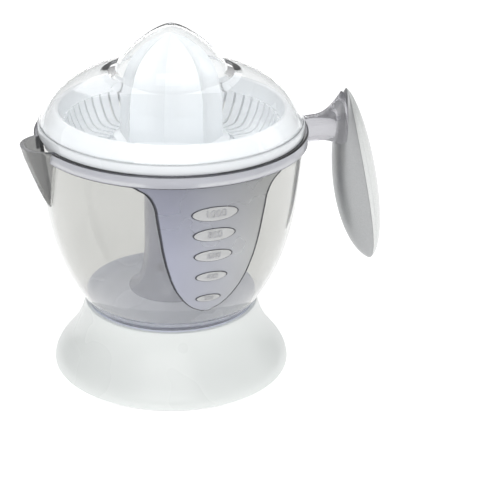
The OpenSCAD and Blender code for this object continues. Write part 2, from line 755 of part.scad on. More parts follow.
module handle_screws() {
    reach = arm_screw_l + block_wall;
    color("silver") for (z = arm_screw_z) translate([arm_end - arm_screw_l, 0, z])
        rotate([0, 90, 0]) {
            cylinder(r = screw_r, h = reach + eps, $fn = 24);
            translate([0, 0, reach]) cylinder(r = screw_head_r - 0.2, h = screw_head_t, $fn = 32);
        }
}

// ---- Strainer ----

sleeve_l = 7;          // length of the sleeve that sits around the column
sleeve_in = col_r + 0.7;
sleeve_out = sleeve_in + 1.8;
crest_r = flange_r - 10.6;
bowl_r = flange_r - 25.5;
hub_out = reamer_flange_r + 1.6;
ring_line = curve([[flange_r - 3.4, cover_z], [flange_r - 5.5, cover_z + 0.4],
    [crest_r + 2.6, crest_z], [crest_r, crest_z]], 8);
module strainer_body() {
    spin(concat([[flange_r, rim_z], [flange_r, cover_z - 0.6], [flange_r - 0.6, cover_z]],
        ring_line,
        [[crest_r - 1.8, crest_z - 0.8], [crest_r - 5.2, rim_z - 1],
         [bowl_r + 4.1, bowl_z + 2.4], [bowl_r, bowl_z + 0.2], [hub_out + 2, bowl_z],
         [hub_out, hub_top], [collar_r, hub_top], [collar_r, collar_top],
         [collar_in, collar_top], [collar_in, hub_under], [sleeve_in, hub_under],
         [sleeve_in, hub_under - sleeve_l], [sleeve_out, hub_under - sleeve_l],
         [sleeve_out, hub_under],
         [hub_out - 2, hub_under], [hub_out, bowl_z - strain_wall],
         [bowl_r + 0.8, bowl_z - strain_wall], [bowl_r + 5.8, bowl_z + 0.6],
         [crest_r - 3, rim_z - 1.2], [crest_r - 0.2, crest_z - 3.2], [crest_r + 0.8, crest_z - 2.4]],
        shifted(reversed([for (i = [2 : 7]) ring_line[i]]), [-1.4, -2.4]),
        [[skirt_out - strain_wall, cover_z - 2.4], [skirt_out - strain_wall, rim_z - 6],
         [skirt_out, rim_z - 6], [skirt_out, rim_z]]));
}
module strainer() {
    color("white") difference() {
        strainer_body();
        for (i = [0 : slot_n - 1]) rotate((i + 0.5) * 360 / slot_n)
            translate([0, slot_w / 2, 0]) rotate([90, 0, 0]) linear_extrude(slot_w)
                polygon([[hub_out + 5, bowl_z + 2], [hub_out + 5, bowl_z - 4],
                    [bowl_r + 9, bowl_z - 4], [crest_r - 1.6, rim_z + 4],
                    [crest_r - 5.4, rim_z + 4], [bowl_r, bowl_z + 2]]);
    }
}

module thrust_ring() {
    color("gainsboro") translate([0, 0, web_z - 0.3 - ring_t])
        tube(ring_r, collar_r + 0.3, ring_t);
}

// ---- Reamer ----

reamer_line = curve([[reamer_r, reamer_z + 3], [reamer_r - 2, reamer_z + 0.41 * reamer_h],
    [reamer_r + 3.9, reamer_z + 0.83 * reamer_h], [0.6, reamer_top]], 22);
spokes = 96;
// Flutes lie between the ribs and run out towards the tip
function flute(a, r) = flute_d * pow(abs(sin(rib_n / 2 * a)), 0.8) * min(1, 1.25 * r / reamer_r);
function flange_edge(a) = reamer_flange_r - 1.6 * pow(sin(rib_n / 2 * a), 2);
module reamer_outer() {
    dirs = [for (j = [0 : spokes - 1]) j * 360 / spokes];
    loft(concat(
        [for (z = [reamer_z, reamer_z + 2])
            [for (a = dirs) [flange_edge(a) * cos(a), flange_edge(a) * sin(a), z]]],
        [for (p = reamer_line) [for (a = dirs) let (r = max(0.3, p[0] - flute(a, p[0])))
            [r * cos(a), r * sin(a), p[1]]]]));
}
reamer_wall = 2.2;
module reamer() {
    color("white") difference() {
        reamer_outer();
        difference() {
            spin(concat([[0, reamer_z - 1], [reamer_r - flute_d - reamer_wall, reamer_z - 1]],
                [for (p = reamer_line) if (p[1] < reamer_top - 16)
                    p - [flute_d + reamer_wall, 0]],
                [[0, reamer_top - 14]]));
            translate([0, 0, web_z]) cylinder(r = reamer_r, h = 2);
            translate([0, 0, boss_z]) cylinder(r = boss_r, h = shaft_top + 4 - boss_z);
            translate([0, 0, web_z]) tube(boss_r + 3, boss_r + 1, shaft_top + 2 - web_z);
            translate([0, 0, shaft_top + 2]) cylinder(r = boss_r + 3, h = 2);
        }
        translate([0, 0, web_z - 1]) cylinder(r = boss_r + 1 - eps, h = boss_z - web_z + 1);
        translate([0, 0, reamer_z - 2]) cylinder(r = socket_r, h = shaft_top + 2 - reamer_z);
    }
}
module drive_socket() {
    color("lightgray") translate([0, 0, boss_z]) difference() {
        cylinder(r = socket_r, h = shaft_top - boss_z - eps);
        translate([0, 0, -1]) hexagon(hex_top + 2 * fit, shaft_top - boss_z + 2);
    }
}

// ---- Dust cover ----

dome_r = flange_r - 0.6;
step_r = reamer_r + 3;
step_z = cover_z + 0.508 * cover_h;
dome_line = curve([[dome_r, cover_z], [dome_r - 1.9, cover_z + 3],
    [dome_r - 9.3, step_z - 3.6], [step_r, step_z]], 16);
nose_line = curve([[step_r - 0.5, step_z], [step_r - 3, step_z + 11], [8, cover_top],
    [0, cover_top]], 14);
module dust_cover() {
    color("aliceblue", 0.3) difference() {
        spin(concat([[0, cover_z]], dome_line, [[step_r - 0.4, step_z - 0.8]], nose_line));
        spin(concat([[0, cover_z - 1], [dome_r - cover_wall, cover_z - 1]],
            [for (p = dome_line) p - [cover_wall * (p[1] < step_z - 7 ? 1 : 0.3),
                cover_wall * (p[1] < step_z - 7 ? 0 : 1)]],
            [for (i = [1 : 12]) nose_line[i] - [cover_wall, 0.6]],
            [[0, cover_top - cover_wall]]));
    }
}

base_housing();
bottom_plate();
foot_ring();
plate_screws();
cord_gland();
terminal_block();
shaft_bush();
shaft_seal();
gear_plate();
gear_plate_screws();
idler_pin();
stator_core();
coil_bobbin();
coil_winding();
motor_bracket();
motor_screws();
rotor_bushes();
rotor_core();
rotor_shaft();
motor_pinion();
idler_gear();
output_gear();
drive_shaft();
shaft_clip();
press_disc();
return_spring();
switch_body();
switch_screws();
switch_plunger();
jug();
handle_grip();
handle_cap();
handle_screws();
strainer();
thrust_ring();
reamer();
drive_socket();
dust_cover();
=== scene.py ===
"""Electric citrus press: the visual model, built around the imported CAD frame."""
import math

import bmesh
import bpy
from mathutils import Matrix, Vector


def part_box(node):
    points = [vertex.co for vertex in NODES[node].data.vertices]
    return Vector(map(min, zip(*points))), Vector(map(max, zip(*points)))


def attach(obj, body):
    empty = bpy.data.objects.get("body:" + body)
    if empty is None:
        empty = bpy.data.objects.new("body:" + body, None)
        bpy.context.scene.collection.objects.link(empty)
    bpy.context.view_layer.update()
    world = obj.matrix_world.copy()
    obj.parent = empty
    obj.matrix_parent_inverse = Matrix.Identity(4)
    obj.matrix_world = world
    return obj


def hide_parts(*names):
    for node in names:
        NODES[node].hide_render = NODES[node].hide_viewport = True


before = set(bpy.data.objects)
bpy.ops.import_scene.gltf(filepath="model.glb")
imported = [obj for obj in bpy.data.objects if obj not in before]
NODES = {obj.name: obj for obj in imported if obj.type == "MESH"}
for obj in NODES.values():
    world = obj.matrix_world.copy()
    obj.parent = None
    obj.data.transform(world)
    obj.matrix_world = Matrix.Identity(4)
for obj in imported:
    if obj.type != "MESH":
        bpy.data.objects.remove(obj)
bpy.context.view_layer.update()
MM = 0.001


# ---------------------------------------------------------------- sizes (mm)
def box_mm(node):
    low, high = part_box(node)
    return [c / MM for c in low], [c / MM for c in high]


BASE_LOW, BASE_HIGH = box_mm("base_housing")
COVER_LOW, COVER_HIGH = box_mm("dust_cover")
_, STRAIN_HIGH = box_mm("strainer")
REAMER_LOW, REAMER_HIGH = box_mm("reamer")
JUG_LOW, JUG_HIGH = box_mm("jug")

BASE_R = BASE_HIGH[0]
SKIRT_Z = BASE_LOW[2]
TOWER_Z = BASE_HIGH[2]
BASE_H = 42.5
LIP_R = 53.3
BASE_WALL = 2.6
SEAT_Z = JUG_LOW[2]
TOWER_R = 11.5
BORE_R = 8.1
BORE_DEPTH = 14
SHAFT_HOLE_R = 6.9

RIM_Z = JUG_HIGH[2]
BAND_H = 7.5
BAND_Z = RIM_Z - BAND_H
BAND_R = JUG_HIGH[1]
JUG_R = BAND_R - 2.4
JUG_WALL = 2.5
FOOT_R = 50.2
JUG_Z0 = BASE_H + 1
FLOOR_Z = JUG_Z0 + 2
COL_R = 16.3
COL_TOP = 140.0
SPOUT_W = 17.5
SPOUT_H = 40.0
SPOUT_REACH = 14.0

COVER_Z = COVER_LOW[2]
COVER_TOP = COVER_HIGH[2]
CREST_Z = STRAIN_HIGH[2]
BOWL_Z = RIM_Z - 14
HUB_TOP = BOWL_Z + 4
HUB_UNDER = HUB_TOP - 2.4
HUB_OUT = 36.6
CUFF_IN = COL_R + 0.7
CUFF_OUT = COL_R + 2.5
CUFF_H = 7
CREST_R = JUG_R - 10.6
BOWL_R = JUG_R - 25.5
SLOT_N = 56
SLOT_W = 1.7
COLLAR_R = 10.6
COLLAR_IN = 8.6
COLLAR_TOP = 149.5

REAMER_Z = REAMER_LOW[2]
REAMER_TOP = REAMER_HIGH[2]
REAMER_R = 31.0
RIB_N = 8
FLUTE_D = 5.0

ARM_Z = RIM_Z - 13.5
ARM_HZ = 8.2
ARM_HY = 6.6
GRIP_X = JUG_R + 29
GRIP_HY = 12.5

SPIN_STEPS = 192


# ------------------------------------------------------------- mesh helpers
def along(p, t):
    """A point of the cubic curve with control points p."""
    u = 1 - t
    weights = (u**3, 3 * u * u * t, 3 * u * t * t, t**3)
    return tuple(sum(w * q[i] for w, q in zip(weights, p)) for i in range(len(p[0])))


def curve(p, steps):
    return [along(p, i / steps) for i in range(steps + 1)]


def around(count):
    """Equal angles round a full turn."""
    return [2 * math.pi * k / count for k in range(count)]


def rounded(corner, before, after, radius, steps=4):
    """Points of a round over the corner of an outline."""
    c = Vector(corner)
    a = c + (Vector(before) - c).normalized() * radius
    b = c + (Vector(after) - c).normalized() * radius
    return [tuple(a.lerp(c, t).lerp(c.lerp(b, t), t)) for t in (i / steps for i in range(steps + 1))]


def soften(points, radii, steps=4):
    """An open or closed outline with some of its corners rounded: radii maps an index to a radius."""
    out = []
    for i, p in enumerate(points):
        if i in radii:
            out += rounded(p, points[i - 1], points[(i + 1) % len(points)], radii[i], steps)
        else:
            out.append(p)
    return out


def merge_and_turn_out(mesh):
    """Joins points that coincide and points every face outwards."""
    bm = bmesh.new()
    bm.from_mesh(mesh)
    bmesh.ops.remove_doubles(bm, verts=bm.verts, dist=1e-7)
    bmesh.ops.recalc_face_normals(bm, faces=bm.faces)
    bm.to_mesh(mesh)
    bm.free()


def smooth_up_to(mesh, sharp):
    """Smooth shading, with an edge kept sharp where it bends by more than an angle in degrees."""
    mesh.shade_smooth()
    mesh.set_sharp_from_angle(angle=math.radians(sharp))


def add_piece(name, mesh, body):
    """Puts a mesh into the scene as a piece that rides on a body."""
    piece = bpy.data.objects.new(name, mesh)
    bpy.context.scene.collection.objects.link(piece)
    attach(piece, body)
    return piece


def finish_mesh(name, verts, faces, body, materials, index=None, sharp=32):
    """A shape in millimetres becomes a piece, with one material index for each face."""
    mesh = bpy.data.meshes.new(name)
    mesh.from_pydata([tuple(c * MM for c in v) for v in verts], [], faces)
    for finish in materials:
        mesh.materials.append(finish)
    if index:
        mesh.polygons.foreach_set("material_index", index)
    merge_and_turn_out(mesh)
    smooth_up_to(mesh, sharp)
    return add_piece(name, mesh, body)


def spin_mesh(outline, steps=160, marks=None):
    """Turns an outline of (r, z) about the drive axis. A closed outline has no point on the axis."""
    verts, faces, index, rows = [], [], [], []
    touches = any(p[0] < 1e-6 for p in outline)
    for r, z in outline:
        if r < 1e-6:
            rows.append([len(verts)] * steps)
            verts.append((0.0, 0.0, z))
        else:
            rows.append(range(len(verts), len(verts) + steps))
            verts += [(r * math.cos(a), r * math.sin(a), z) for a in around(steps)]
    count = len(outline)
    for i in range(count - 1 if touches else count):
        here, there = rows[i], rows[(i + 1) % count]
        for k in range(steps):
            n = (k + 1) % steps
            ring = [here[k], here[n], there[n], there[k]]
            face = [v for j, v in enumerate(ring) if v != ring[j - 1]]
            if len(set(face)) > 2:
                faces.append(face)
                index.append(marks[i] if marks else 0)
    return verts, faces, index


def loft_mesh(rings):
    """Skins rings of equal length and caps both ends."""
    n = len(rings[0])
    verts = [p for ring in rings for p in ring]
    faces = []
    for i in range(len(rings) - 1):
        for j in range(n):
            k = (j + 1) % n
            faces.append([i * n + j, (i + 1) * n + j, (i + 1) * n + k, i * n + k])
    faces.append(list(range(n)))
    faces.append([(len(rings) - 1) * n + j for j in reversed(range(n))])
    return verts, faces


# ---------------------------------------------------------------- materials
NOISE_LOW, NOISE_HIGH = 0.3, 0.7
TONE_LOW, TONE_HIGH = 0.35, 0.65


def new_material(name):
    mat = bpy.data.materials.new(name)
    mat.use_nodes = True
    tree = mat.node_tree
    return mat, tree, tree.nodes["Principled BSDF"], tree.nodes["Material Output"]


def node(tree, kind, **values):
    """A new node with its inputs or settings filled in."""
    made = tree.nodes.new(kind)
    for key, value in values.items():
        if key in made.inputs:
            made.inputs[key].default_value = value
        else:
            setattr(made, key, value)
    return made


def grain(tree, scale, detail=4.0, stretch=(1, 1, 1)):
    """Noise on the piece's own coordinates."""
    place = node(tree, "ShaderNodeTexCoord")
    turn = node(tree, "ShaderNodeMapping")
    turn.inputs["Scale"].default_value = stretch
    noise = node(tree, "ShaderNodeTexNoise", Scale=scale, Detail=detail)
    tree.links.new(place.outputs["Object"], turn.inputs["Vector"])
    tree.links.new(turn.outputs["Vector"], noise.inputs["Vector"])
    return noise


def spread(tree, source, low, high):
    """Maps a noise value onto a range."""
    ramp = node(tree, "ShaderNodeMapRange")
    ramp.inputs["From Min"].default_value = NOISE_LOW
    ramp.inputs["From Max"].default_value = NOISE_HIGH
    ramp.inputs["To Min"].default_value = low
    ramp.inputs["To Max"].default_value = high
    tree.links.new(source, ramp.inputs["Value"])
    return ramp.outputs["Result"]


def two_tone(tree, source, dark, light):
    """Turns a noise value into a colour between two shades."""
    ramp = node(tree, "ShaderNodeValToRGB")
    ramp.color_ramp.elements[0].position = TONE_LOW
    ramp.color_ramp.elements[0].color = (*dark, 1)
    ramp.color_ramp.elements[1].position = TONE_HIGH
    ramp.color_ramp.elements[1].color = (*light, 1)
    tree.links.new(source, ramp.inputs["Fac"])
    return ramp.outputs["Color"]


def add_bump(tree, shader, source, strength, distance):
    """Relief from a noise value."""
    bump = node(tree, "ShaderNodeBump", Strength=strength, Distance=distance)
    tree.links.new(source, bump.inputs["Height"])
    tree.links.new(bump.outputs["Normal"], shader.inputs["Normal"])


def moulded(name, colour, rough, varied=0.06, bump=0.05, coat=0.0, glow=0.0, scale=260.0):
    """Moulded plastic: a faint orange peel, cloudy gloss and a slight change of shade."""
    mat, tree, shader, _ = new_material(name)
    fine = grain(tree, scale)
    broad = grain(tree, 18.0, 2.0)
    dark = tuple(c * (1 - varied) for c in colour)
    tree.links.new(two_tone(tree, broad.outputs["Fac"], dark, colour), shader.inputs["Base Color"])
    tree.links.new(spread(tree, broad.outputs["Fac"], rough * 0.8, rough * 1.25),
                   shader.inputs["Roughness"])
    add_bump(tree, shader, fine.outputs["Fac"], bump, 0.0003)
    shader.inputs["Coat Weight"].default_value = coat
    shader.inputs["Coat Roughness"].default_value = 0.04
    shader.inputs["Subsurface Weight"].default_value = glow
    shader.inputs["Subsurface Radius"].default_value = (0.006, 0.006, 0.006)
    shader.inputs["Subsurface Scale"].default_value = 1.0
    return mat


def metal(name, colour, rough, stretch=(1, 1, 1), scale=300.0, bump=0.15):
    """Bare metal with a brushed or cast grain."""
    mat, tree, shader, _ = new_material(name)
    shader.inputs["Metallic"].default_value = 1.0
    fine = grain(tree, scale, 6.0, stretch)
    dark = tuple(c * 0.82 for c in colour)
    tree.links.new(two_tone(tree, fine.outputs["Fac"], dark, colour), shader.inputs["Base Color"])
    tree.links.new(spread(tree, fine.outputs["Fac"], rough * 0.7, rough * 1.4),
                   shader.inputs["Roughness"])
    add_bump(tree, shader, fine.outputs["Fac"], bump, 0.0002)
    return mat


def pass_lamp_light(tree, shader, out, shade):
    """Lets the lamps' rays straight through, dimmed by a colour, so clear walls cast a soft shadow."""
    clear = node(tree, "ShaderNodeBsdfTransparent")
    clear.inputs["Color"].default_value = (*shade, 1)
    path = node(tree, "ShaderNodeLightPath")
    mix = node(tree, "ShaderNodeMixShader")
    tree.links.new(path.outputs["Is Shadow Ray"], mix.inputs[0])
    tree.links.new(shader.outputs["BSDF"], mix.inputs[1])
    tree.links.new(clear.outputs["BSDF"], mix.inputs[2])
    tree.links.new(mix.outputs["Shader"], out.inputs["Surface"])


def clear_plastic(name, tint, rough=0.02, ior=1.49, shade=None, wave=0.02, murk=0.0, coat=0.0):
    """Clear moulding: murk is the share of light that it scatters instead of letting through."""
    mat, tree, shader, out = new_material(name)
    shader.inputs["Transmission Weight"].default_value = 1.0 - murk
    shader.inputs["IOR"].default_value = ior
    shader.inputs["Coat Weight"].default_value = coat
    broad = grain(tree, 30.0, 2.0)
    thick = tuple(c * 0.97 for c in tint)
    tree.links.new(two_tone(tree, broad.outputs["Fac"], thick, tint), shader.inputs["Base Color"])
    tree.links.new(spread(tree, broad.outputs["Fac"], rough * 0.7, rough * 1.3),
                   shader.inputs["Roughness"])
    add_bump(tree, shader, broad.outputs["Fac"], wave, 0.0004)
    pass_lamp_light(tree, shader, out, shade or tint)
    return mat


def lacquer(name, dark, light):
    """Metallic lacquer on plastic: fine flakes under a clear coat."""
    mat, tree, shader, _ = new_material(name)
    flakes = grain(tree, 2600.0, 2.0)
    shader.inputs["Metallic"].default_value = 0.7
    tree.links.new(two_tone(tree, flakes.outputs["Fac"], dark, light), shader.inputs["Base Color"])
    tree.links.new(spread(tree, flakes.outputs["Fac"], 0.28, 0.42), shader.inputs["Roughness"])
    add_bump(tree, shader, flakes.outputs["Fac"], 0.04, 0.0001)
    shader.inputs["Coat Weight"].default_value = 0.4
    shader.inputs["Coat Roughness"].default_value = 0.1
    return mat


WHITE = moulded("white_gloss", (0.81, 0.835, 0.82), 0.3, 0.02, 0.02, coat=0.15)
STRAINER_WHITE = moulded("strainer_white", (0.83, 0.855, 0.88), 0.25, 0.02, 0.03, coat=0.3, glow=0.08)
REAMER_WHITE = moulded("reamer_white", (0.80, 0.83, 0.855), 0.2, 0.02, 0.02, coat=0.4, glow=0.12)
GRIP_GREY = lacquer("grip_grey_lacquer", (0.36, 0.365, 0.37), (0.44, 0.445, 0.45))
PLATE_GREY = moulded("plate_grey", (0.50, 0.51, 0.52), 0.5, 0.06, 0.3, scale=500.0)
NYLON = moulded("nylon", (0.74, 0.71, 0.62), 0.42, 0.05, 0.15)
BLACK = moulded("black_plastic", (0.02, 0.02, 0.022), 0.4, 0.2, 0.2)
RED = moulded("red_plastic", (0.45, 0.02, 0.015), 0.25, 0.1, 0.05)
RUBBER = moulded("rubber", (0.025, 0.025, 0.027), 0.7, 0.2, 0.5, scale=600.0)
COPPER = metal("enamelled_copper", (0.62, 0.24, 0.09), 0.3, (1, 40, 1), 90.0, 0.6)
IRON = metal("laminated_iron", (0.20, 0.205, 0.22), 0.45, (0.2, 0.2, 60), 60.0, 0.8)
STEEL = metal("steel", (0.60, 0.61, 0.63), 0.25, (1, 1, 12), 200.0)
ALUMINIUM = metal("cast_aluminium", (0.70, 0.71, 0.72), 0.4, (1, 1, 1), 500.0, 0.35)
BRONZE = metal("sintered_bronze", (0.50, 0.33, 0.16), 0.5, (1, 1, 1), 900.0, 0.4)
BRASS = metal("brass", (0.78, 0.58, 0.22), 0.25, (1, 1, 8), 200.0)
JUG_CLEAR = clear_plastic("jug_clear", (0.73, 0.73, 0.715), 0.015, shade=(0.94, 0.94, 0.94))
JUG_TINT = clear_plastic("jug_lavender", (0.88, 0.90, 0.99), 0.25, shade=(0.92, 0.93, 0.96), murk=0.9)
# dark edges of the clear mouldings: painted shade standing in for the dark lines that refraction draws at
# edges
JUG_EDGE_SHADE = clear_plastic("jug_edge_painted_shade", (0.10, 0.10, 0.12), 0.08, shade=(0.5, 0.5, 0.52))
BAND_TINT = clear_plastic("band_lavender", (0.68, 0.685, 0.74), 0.12, shade=(0.8, 0.8, 0.84), murk=0.5)
COLUMN_SMOKE = clear_plastic("column_smoke", (0.78, 0.785, 0.85), 0.07, shade=(0.8, 0.8, 0.84),
                             murk=0.3)
SPOUT_SMOKE = clear_plastic("spout_smoke", (0.36, 0.36, 0.355), 0.10, shade=(0.6, 0.6, 0.6),
                            murk=0.25)
ARM_TINT = clear_plastic("arm_lavender", (0.60, 0.595, 0.625), 0.09, shade=(0.8, 0.8, 0.83), murk=0.2)
COVER_CLEAR = clear_plastic("cover_clear", (0.94, 0.945, 0.945), 0.01, 1.1, (0.97, 0.97, 0.97),
                            coat=0.8)
MARK_CLEAR = clear_plastic("mark_clear", (0.95, 0.95, 0.93), 0.03, shade=(0.9, 0.9, 0.9), murk=0.4)
SILVER = lacquer("silver_lacquer", (0.62, 0.63, 0.62), (0.76, 0.77, 0.765))
PANEL_SIDE_X = 30.0
PANEL_SHADE_Z = 100.0


def frosted_panel():
    """Smoky panel: lavender fading to grey towards the handle, and darker up towards the band, a painted
    shade.
    """
    mat, tree, shader, out = new_material("frosted_panel")
    place = node(tree, "ShaderNodeTexCoord")
    split = node(tree, "ShaderNodeSeparateXYZ")
    tree.links.new(place.outputs["Object"], split.inputs["Vector"])
    across = node(tree, "ShaderNodeMapRange")
    across.inputs["From Min"].default_value = -PANEL_SIDE_X * MM
    across.inputs["From Max"].default_value = PANEL_SIDE_X * MM
    tree.links.new(split.outputs["X"], across.inputs["Value"])
    side = node(tree, "ShaderNodeValToRGB")
    side.color_ramp.elements[0].color = (0.56, 0.575, 0.68, 1)
    side.color_ramp.elements[1].color = (0.62, 0.625, 0.605, 1)
    tree.links.new(across.outputs["Result"], side.inputs["Fac"])
    # painted shade: the colour is multiplied darker from PANEL_SHADE_Z up to the band
    up = node(tree, "ShaderNodeMapRange")
    up.inputs["From Min"].default_value = PANEL_SHADE_Z * MM
    up.inputs["From Max"].default_value = BAND_Z * MM
    tree.links.new(split.outputs["Z"], up.inputs["Value"])
    shade = node(tree, "ShaderNodeMix", data_type="RGBA", blend_type="MULTIPLY")
    shade.inputs[7].default_value = (0.66, 0.66, 0.67, 1)
    tree.links.new(up.outputs["Result"], shade.inputs[0])
    tree.links.new(side.outputs["Color"], shade.inputs[6])
    tree.links.new(shade.outputs[2], shader.inputs["Base Color"])
    broad = grain(tree, 30.0, 2.0)
    tree.links.new(spread(tree, broad.outputs["Fac"], 0.22, 0.30), shader.inputs["Roughness"])
    add_bump(tree, shader, broad.outputs["Fac"], 0.02, 0.0001)
    shader.inputs["Transmission Weight"].default_value = 0.5
    shader.inputs["IOR"].default_value = 1.3
    shader.inputs["Coat Weight"].default_value = 0.5
    pass_lamp_light(tree, shader, out, (0.7, 0.7, 0.74))
    return mat


PANEL = frosted_panel()


def printed_ink():
    """Grey ink of the level numbers."""
    mat, tree, shader, _ = new_material("printed_ink")
    fine = grain(tree, 1500.0)
    tree.links.new(two_tone(tree, fine.outputs["Fac"], (0.30, 0.30, 0.32), (0.42, 0.42, 0.44)),
                   shader.inputs["Base Color"])
    tree.links.new(spread(tree, fine.outputs["Fac"], 0.45, 0.55), shader.inputs["Roughness"])
    add_bump(tree, shader, fine.outputs["Fac"], 0.02, 0.00002)
    return mat


INK = printed_ink()

CAD_FINISH = {
    "bottom_plate": PLATE_GREY, "foot_ring": RUBBER, "plate_screws": STEEL, "cord_gland": PLATE_GREY,
    "terminal_block": NYLON, "shaft_bush": BRONZE, "shaft_seal": RUBBER, "gear_plate": ALUMINIUM,
    "gear_plate_screws": STEEL, "idler_pin": STEEL, "stator_core": IRON, "coil_bobbin": NYLON,
    "coil_winding": COPPER, "motor_bracket": STEEL, "motor_screws": STEEL, "rotor_bushes": BRONZE,
    "rotor_core": ALUMINIUM, "rotor_shaft": STEEL, "motor_pinion": BRASS, "idler_gear": NYLON,
    "output_gear": NYLON, "drive_shaft": STRAINER_WHITE, "shaft_clip": STEEL, "press_disc": NYLON,
    "return_spring": STEEL, "switch_body": BLACK, "switch_screws": STEEL, "switch_plunger": RED,
    "jug": JUG_CLEAR, "handle_grip": GRIP_GREY, "handle_cap": SILVER, "handle_screws": STEEL,
    "strainer": STRAINER_WHITE, "thrust_ring": NYLON, "reamer": REAMER_WHITE,
    "drive_socket": PLATE_GREY, "dust_cover": COVER_CLEAR, "base_housing": WHITE,
}
for name, finish in CAD_FINISH.items():
    mesh = NODES[name].data
    mesh.materials.clear()
    mesh.materials.append(finish)


# --------------------------------------------------------------- motor base
def base_shell():
    """The flared white housing, with the recess for the jug's foot and the tower of the shaft."""
    side = curve([(BASE_R, 2.7), (BASE_R - 0.8, 14.6), (LIP_R + 5.4, 16.3), (LIP_R, BASE_H - 1)], 48)
    ceiling = SEAT_Z - BASE_WALL
    inner = [(r - BASE_WALL, z) for r, z in side if z < ceiling - 0.6]
    recess = FOOT_R + 0.4
    lip = soften([(LIP_R, BASE_H - 1), (LIP_R - 0.3, BASE_H), (recess, BASE_H), (recess, SEAT_Z)],
                 {1: 0.4, 2: 0.5})
    seat = soften([(recess, SEAT_Z), (TOWER_R, SEAT_Z), (TOWER_R, TOWER_Z), (BORE_R, TOWER_Z)],
                  {1: 1.5, 2: 0.8})
    outline = ([(BASE_R - BASE_WALL, SKIRT_Z), (BASE_R - 1.2, SKIRT_Z), (BASE_R - 0.3, SKIRT_Z + 0.5)]
               + side + lip[1:-1] + seat[:-1]
               + [(BORE_R, TOWER_Z), (BORE_R, TOWER_Z - BORE_DEPTH),
                  (SHAFT_HOLE_R, TOWER_Z - BORE_DEPTH), (SHAFT_HOLE_R, ceiling),
                  (inner[-1][0] - 0.6, ceiling)] + inner[::-1])
    verts, faces, index = spin_mesh(outline, SPIN_STEPS)
    piece = finish_mesh("base_shell", verts, faces, "base", [WHITE], index)
    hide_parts("base_housing")


base_shell()


# ---------------------------------------------------------------------- jug
WALL_CURVE = [(FOOT_R + 0.8, JUG_Z0), (JUG_R - 1.2, JUG_Z0 + 0.356 * (BAND_Z - JUG_Z0)),
              (JUG_R - 3.6, JUG_Z0 + 0.702 * (BAND_Z - JUG_Z0)), (JUG_R, BAND_Z)]
WALL_LINE = curve(WALL_CURVE, 96)
JUG_FINISHES = [JUG_CLEAR, JUG_TINT, JUG_EDGE_SHADE, BAND_TINT, SPOUT_SMOKE, COLUMN_SMOKE]
CLEAR_PART, TINT_PART, EDGE_SHADE_PART, BAND_PART, SPOUT_PART, COLUMN_PART = range(len(JUG_FINISHES))


def wall_r(z):
    """Outer radius of the jug wall at a height."""
    for (r0, z0), (r1, z1) in zip(WALL_LINE, WALL_LINE[1:]):
        if z <= z1:
            return r0 + (r1 - r0) * (z - z0) / (z1 - z0)
    return JUG_R


def jug_vessel():
    """Wall, rim band, floor and hollow column in one moulding."""
    jug_in = JUG_R - JUG_WALL
    wall = curve(WALL_CURVE, 40)
    outer = [(FOOT_R, SEAT_Z + 0.6), (FOOT_R, JUG_Z0 - 0.6)] + wall[:-1]
    edge = 1.3
    band = soften([(JUG_R, BAND_Z), (BAND_R, BAND_Z), (BAND_R, BAND_Z + edge), (BAND_R, RIM_Z - edge),
                   (BAND_R, RIM_Z), (jug_in, RIM_Z)], {0: 0.5, 1: 0.9, 4: 1.1}, 5)
    inner = [(r - JUG_WALL, z) for r, z in wall[::-1] if z > FLOOR_Z + 2]
    floor = curve([(inner[-1][0], inner[-1][1]), (wall_r(FLOOR_Z) - JUG_WALL - 1.5, FLOOR_Z - 0.4),
                   (FOOT_R - 8, FLOOR_Z + 0.4), (FOOT_R - 13, FLOOR_Z + 1.4)], 8)
    foot_of_column = curve([(26, FLOOR_Z + 5), (19, FLOOR_Z + 8), (COL_R + 0.6, FLOOR_Z + 18),
                            (COL_R, FLOOR_Z + 32)], 16)
    column = foot_of_column + [(COL_R, COL_TOP - 0.6), (COL_R - 0.6, COL_TOP),
                               (COL_R - 2, COL_TOP)]
    bore = [(r - 2 - 0.6 * (COL_TOP - z) / (COL_TOP - FLOOR_Z), z - 1.2)
            for r, z in foot_of_column[::-1]]
    under = [(FOOT_R - 12, FLOOR_Z - 1.6), (FOOT_R - JUG_WALL - 1, JUG_Z0 - 1),
             (FOOT_R - JUG_WALL, JUG_Z0 - 2), (FOOT_R - JUG_WALL, SEAT_Z + 0.6),
             (FOOT_R - JUG_WALL + 0.6, SEAT_Z), (FOOT_R - 0.6, SEAT_Z)]
    parts = [(outer[:2], TINT_PART), (outer[2:], CLEAR_PART), (band[:-1], EDGE_SHADE_PART),
             ([band[-1]], CLEAR_PART), (inner[:-1], CLEAR_PART), (floor, TINT_PART),
             (column, COLUMN_PART), (bore, COLUMN_PART), (under, TINT_PART)]
    outline = [p for points, _ in parts for p in points]
    marks = [m for points, m in parts for _ in points]
    # the broad face of the band is lavender: only its rounded edges carry the dark edge finish, painted
    # shade
    for i, (_, z) in enumerate(outline):
        if marks[i] == EDGE_SHADE_PART and BAND_Z + 0.5 < z < RIM_Z - 0.75:
            marks[i] = BAND_PART
    return spin_mesh(outline, SPIN_STEPS, marks)


def rise(z):
    """Share of the spout's height, from its foot up to the rim."""
    return max(0.001, (z - (RIM_Z - SPOUT_H)) / SPOUT_H)


def arch(z, inset, steps=24):
    """One level of the spout, from the wall out to the keel."""
    t = rise(z)
    half = max(0.6, SPOUT_W * t**1.15 - inset)
    x0 = wall_r(z) - 5
    x1 = max(x0 + 0.5, wall_r(z) + SPOUT_REACH * t**0.75 - inset)
    return [(-(x0 + (x1 - x0) * math.sin(a) ** 0.8), half * math.cos(a) * (1 - 0.12 * math.sin(a)), z)
            for a in (math.pi * i / steps for i in range(steps + 1))]


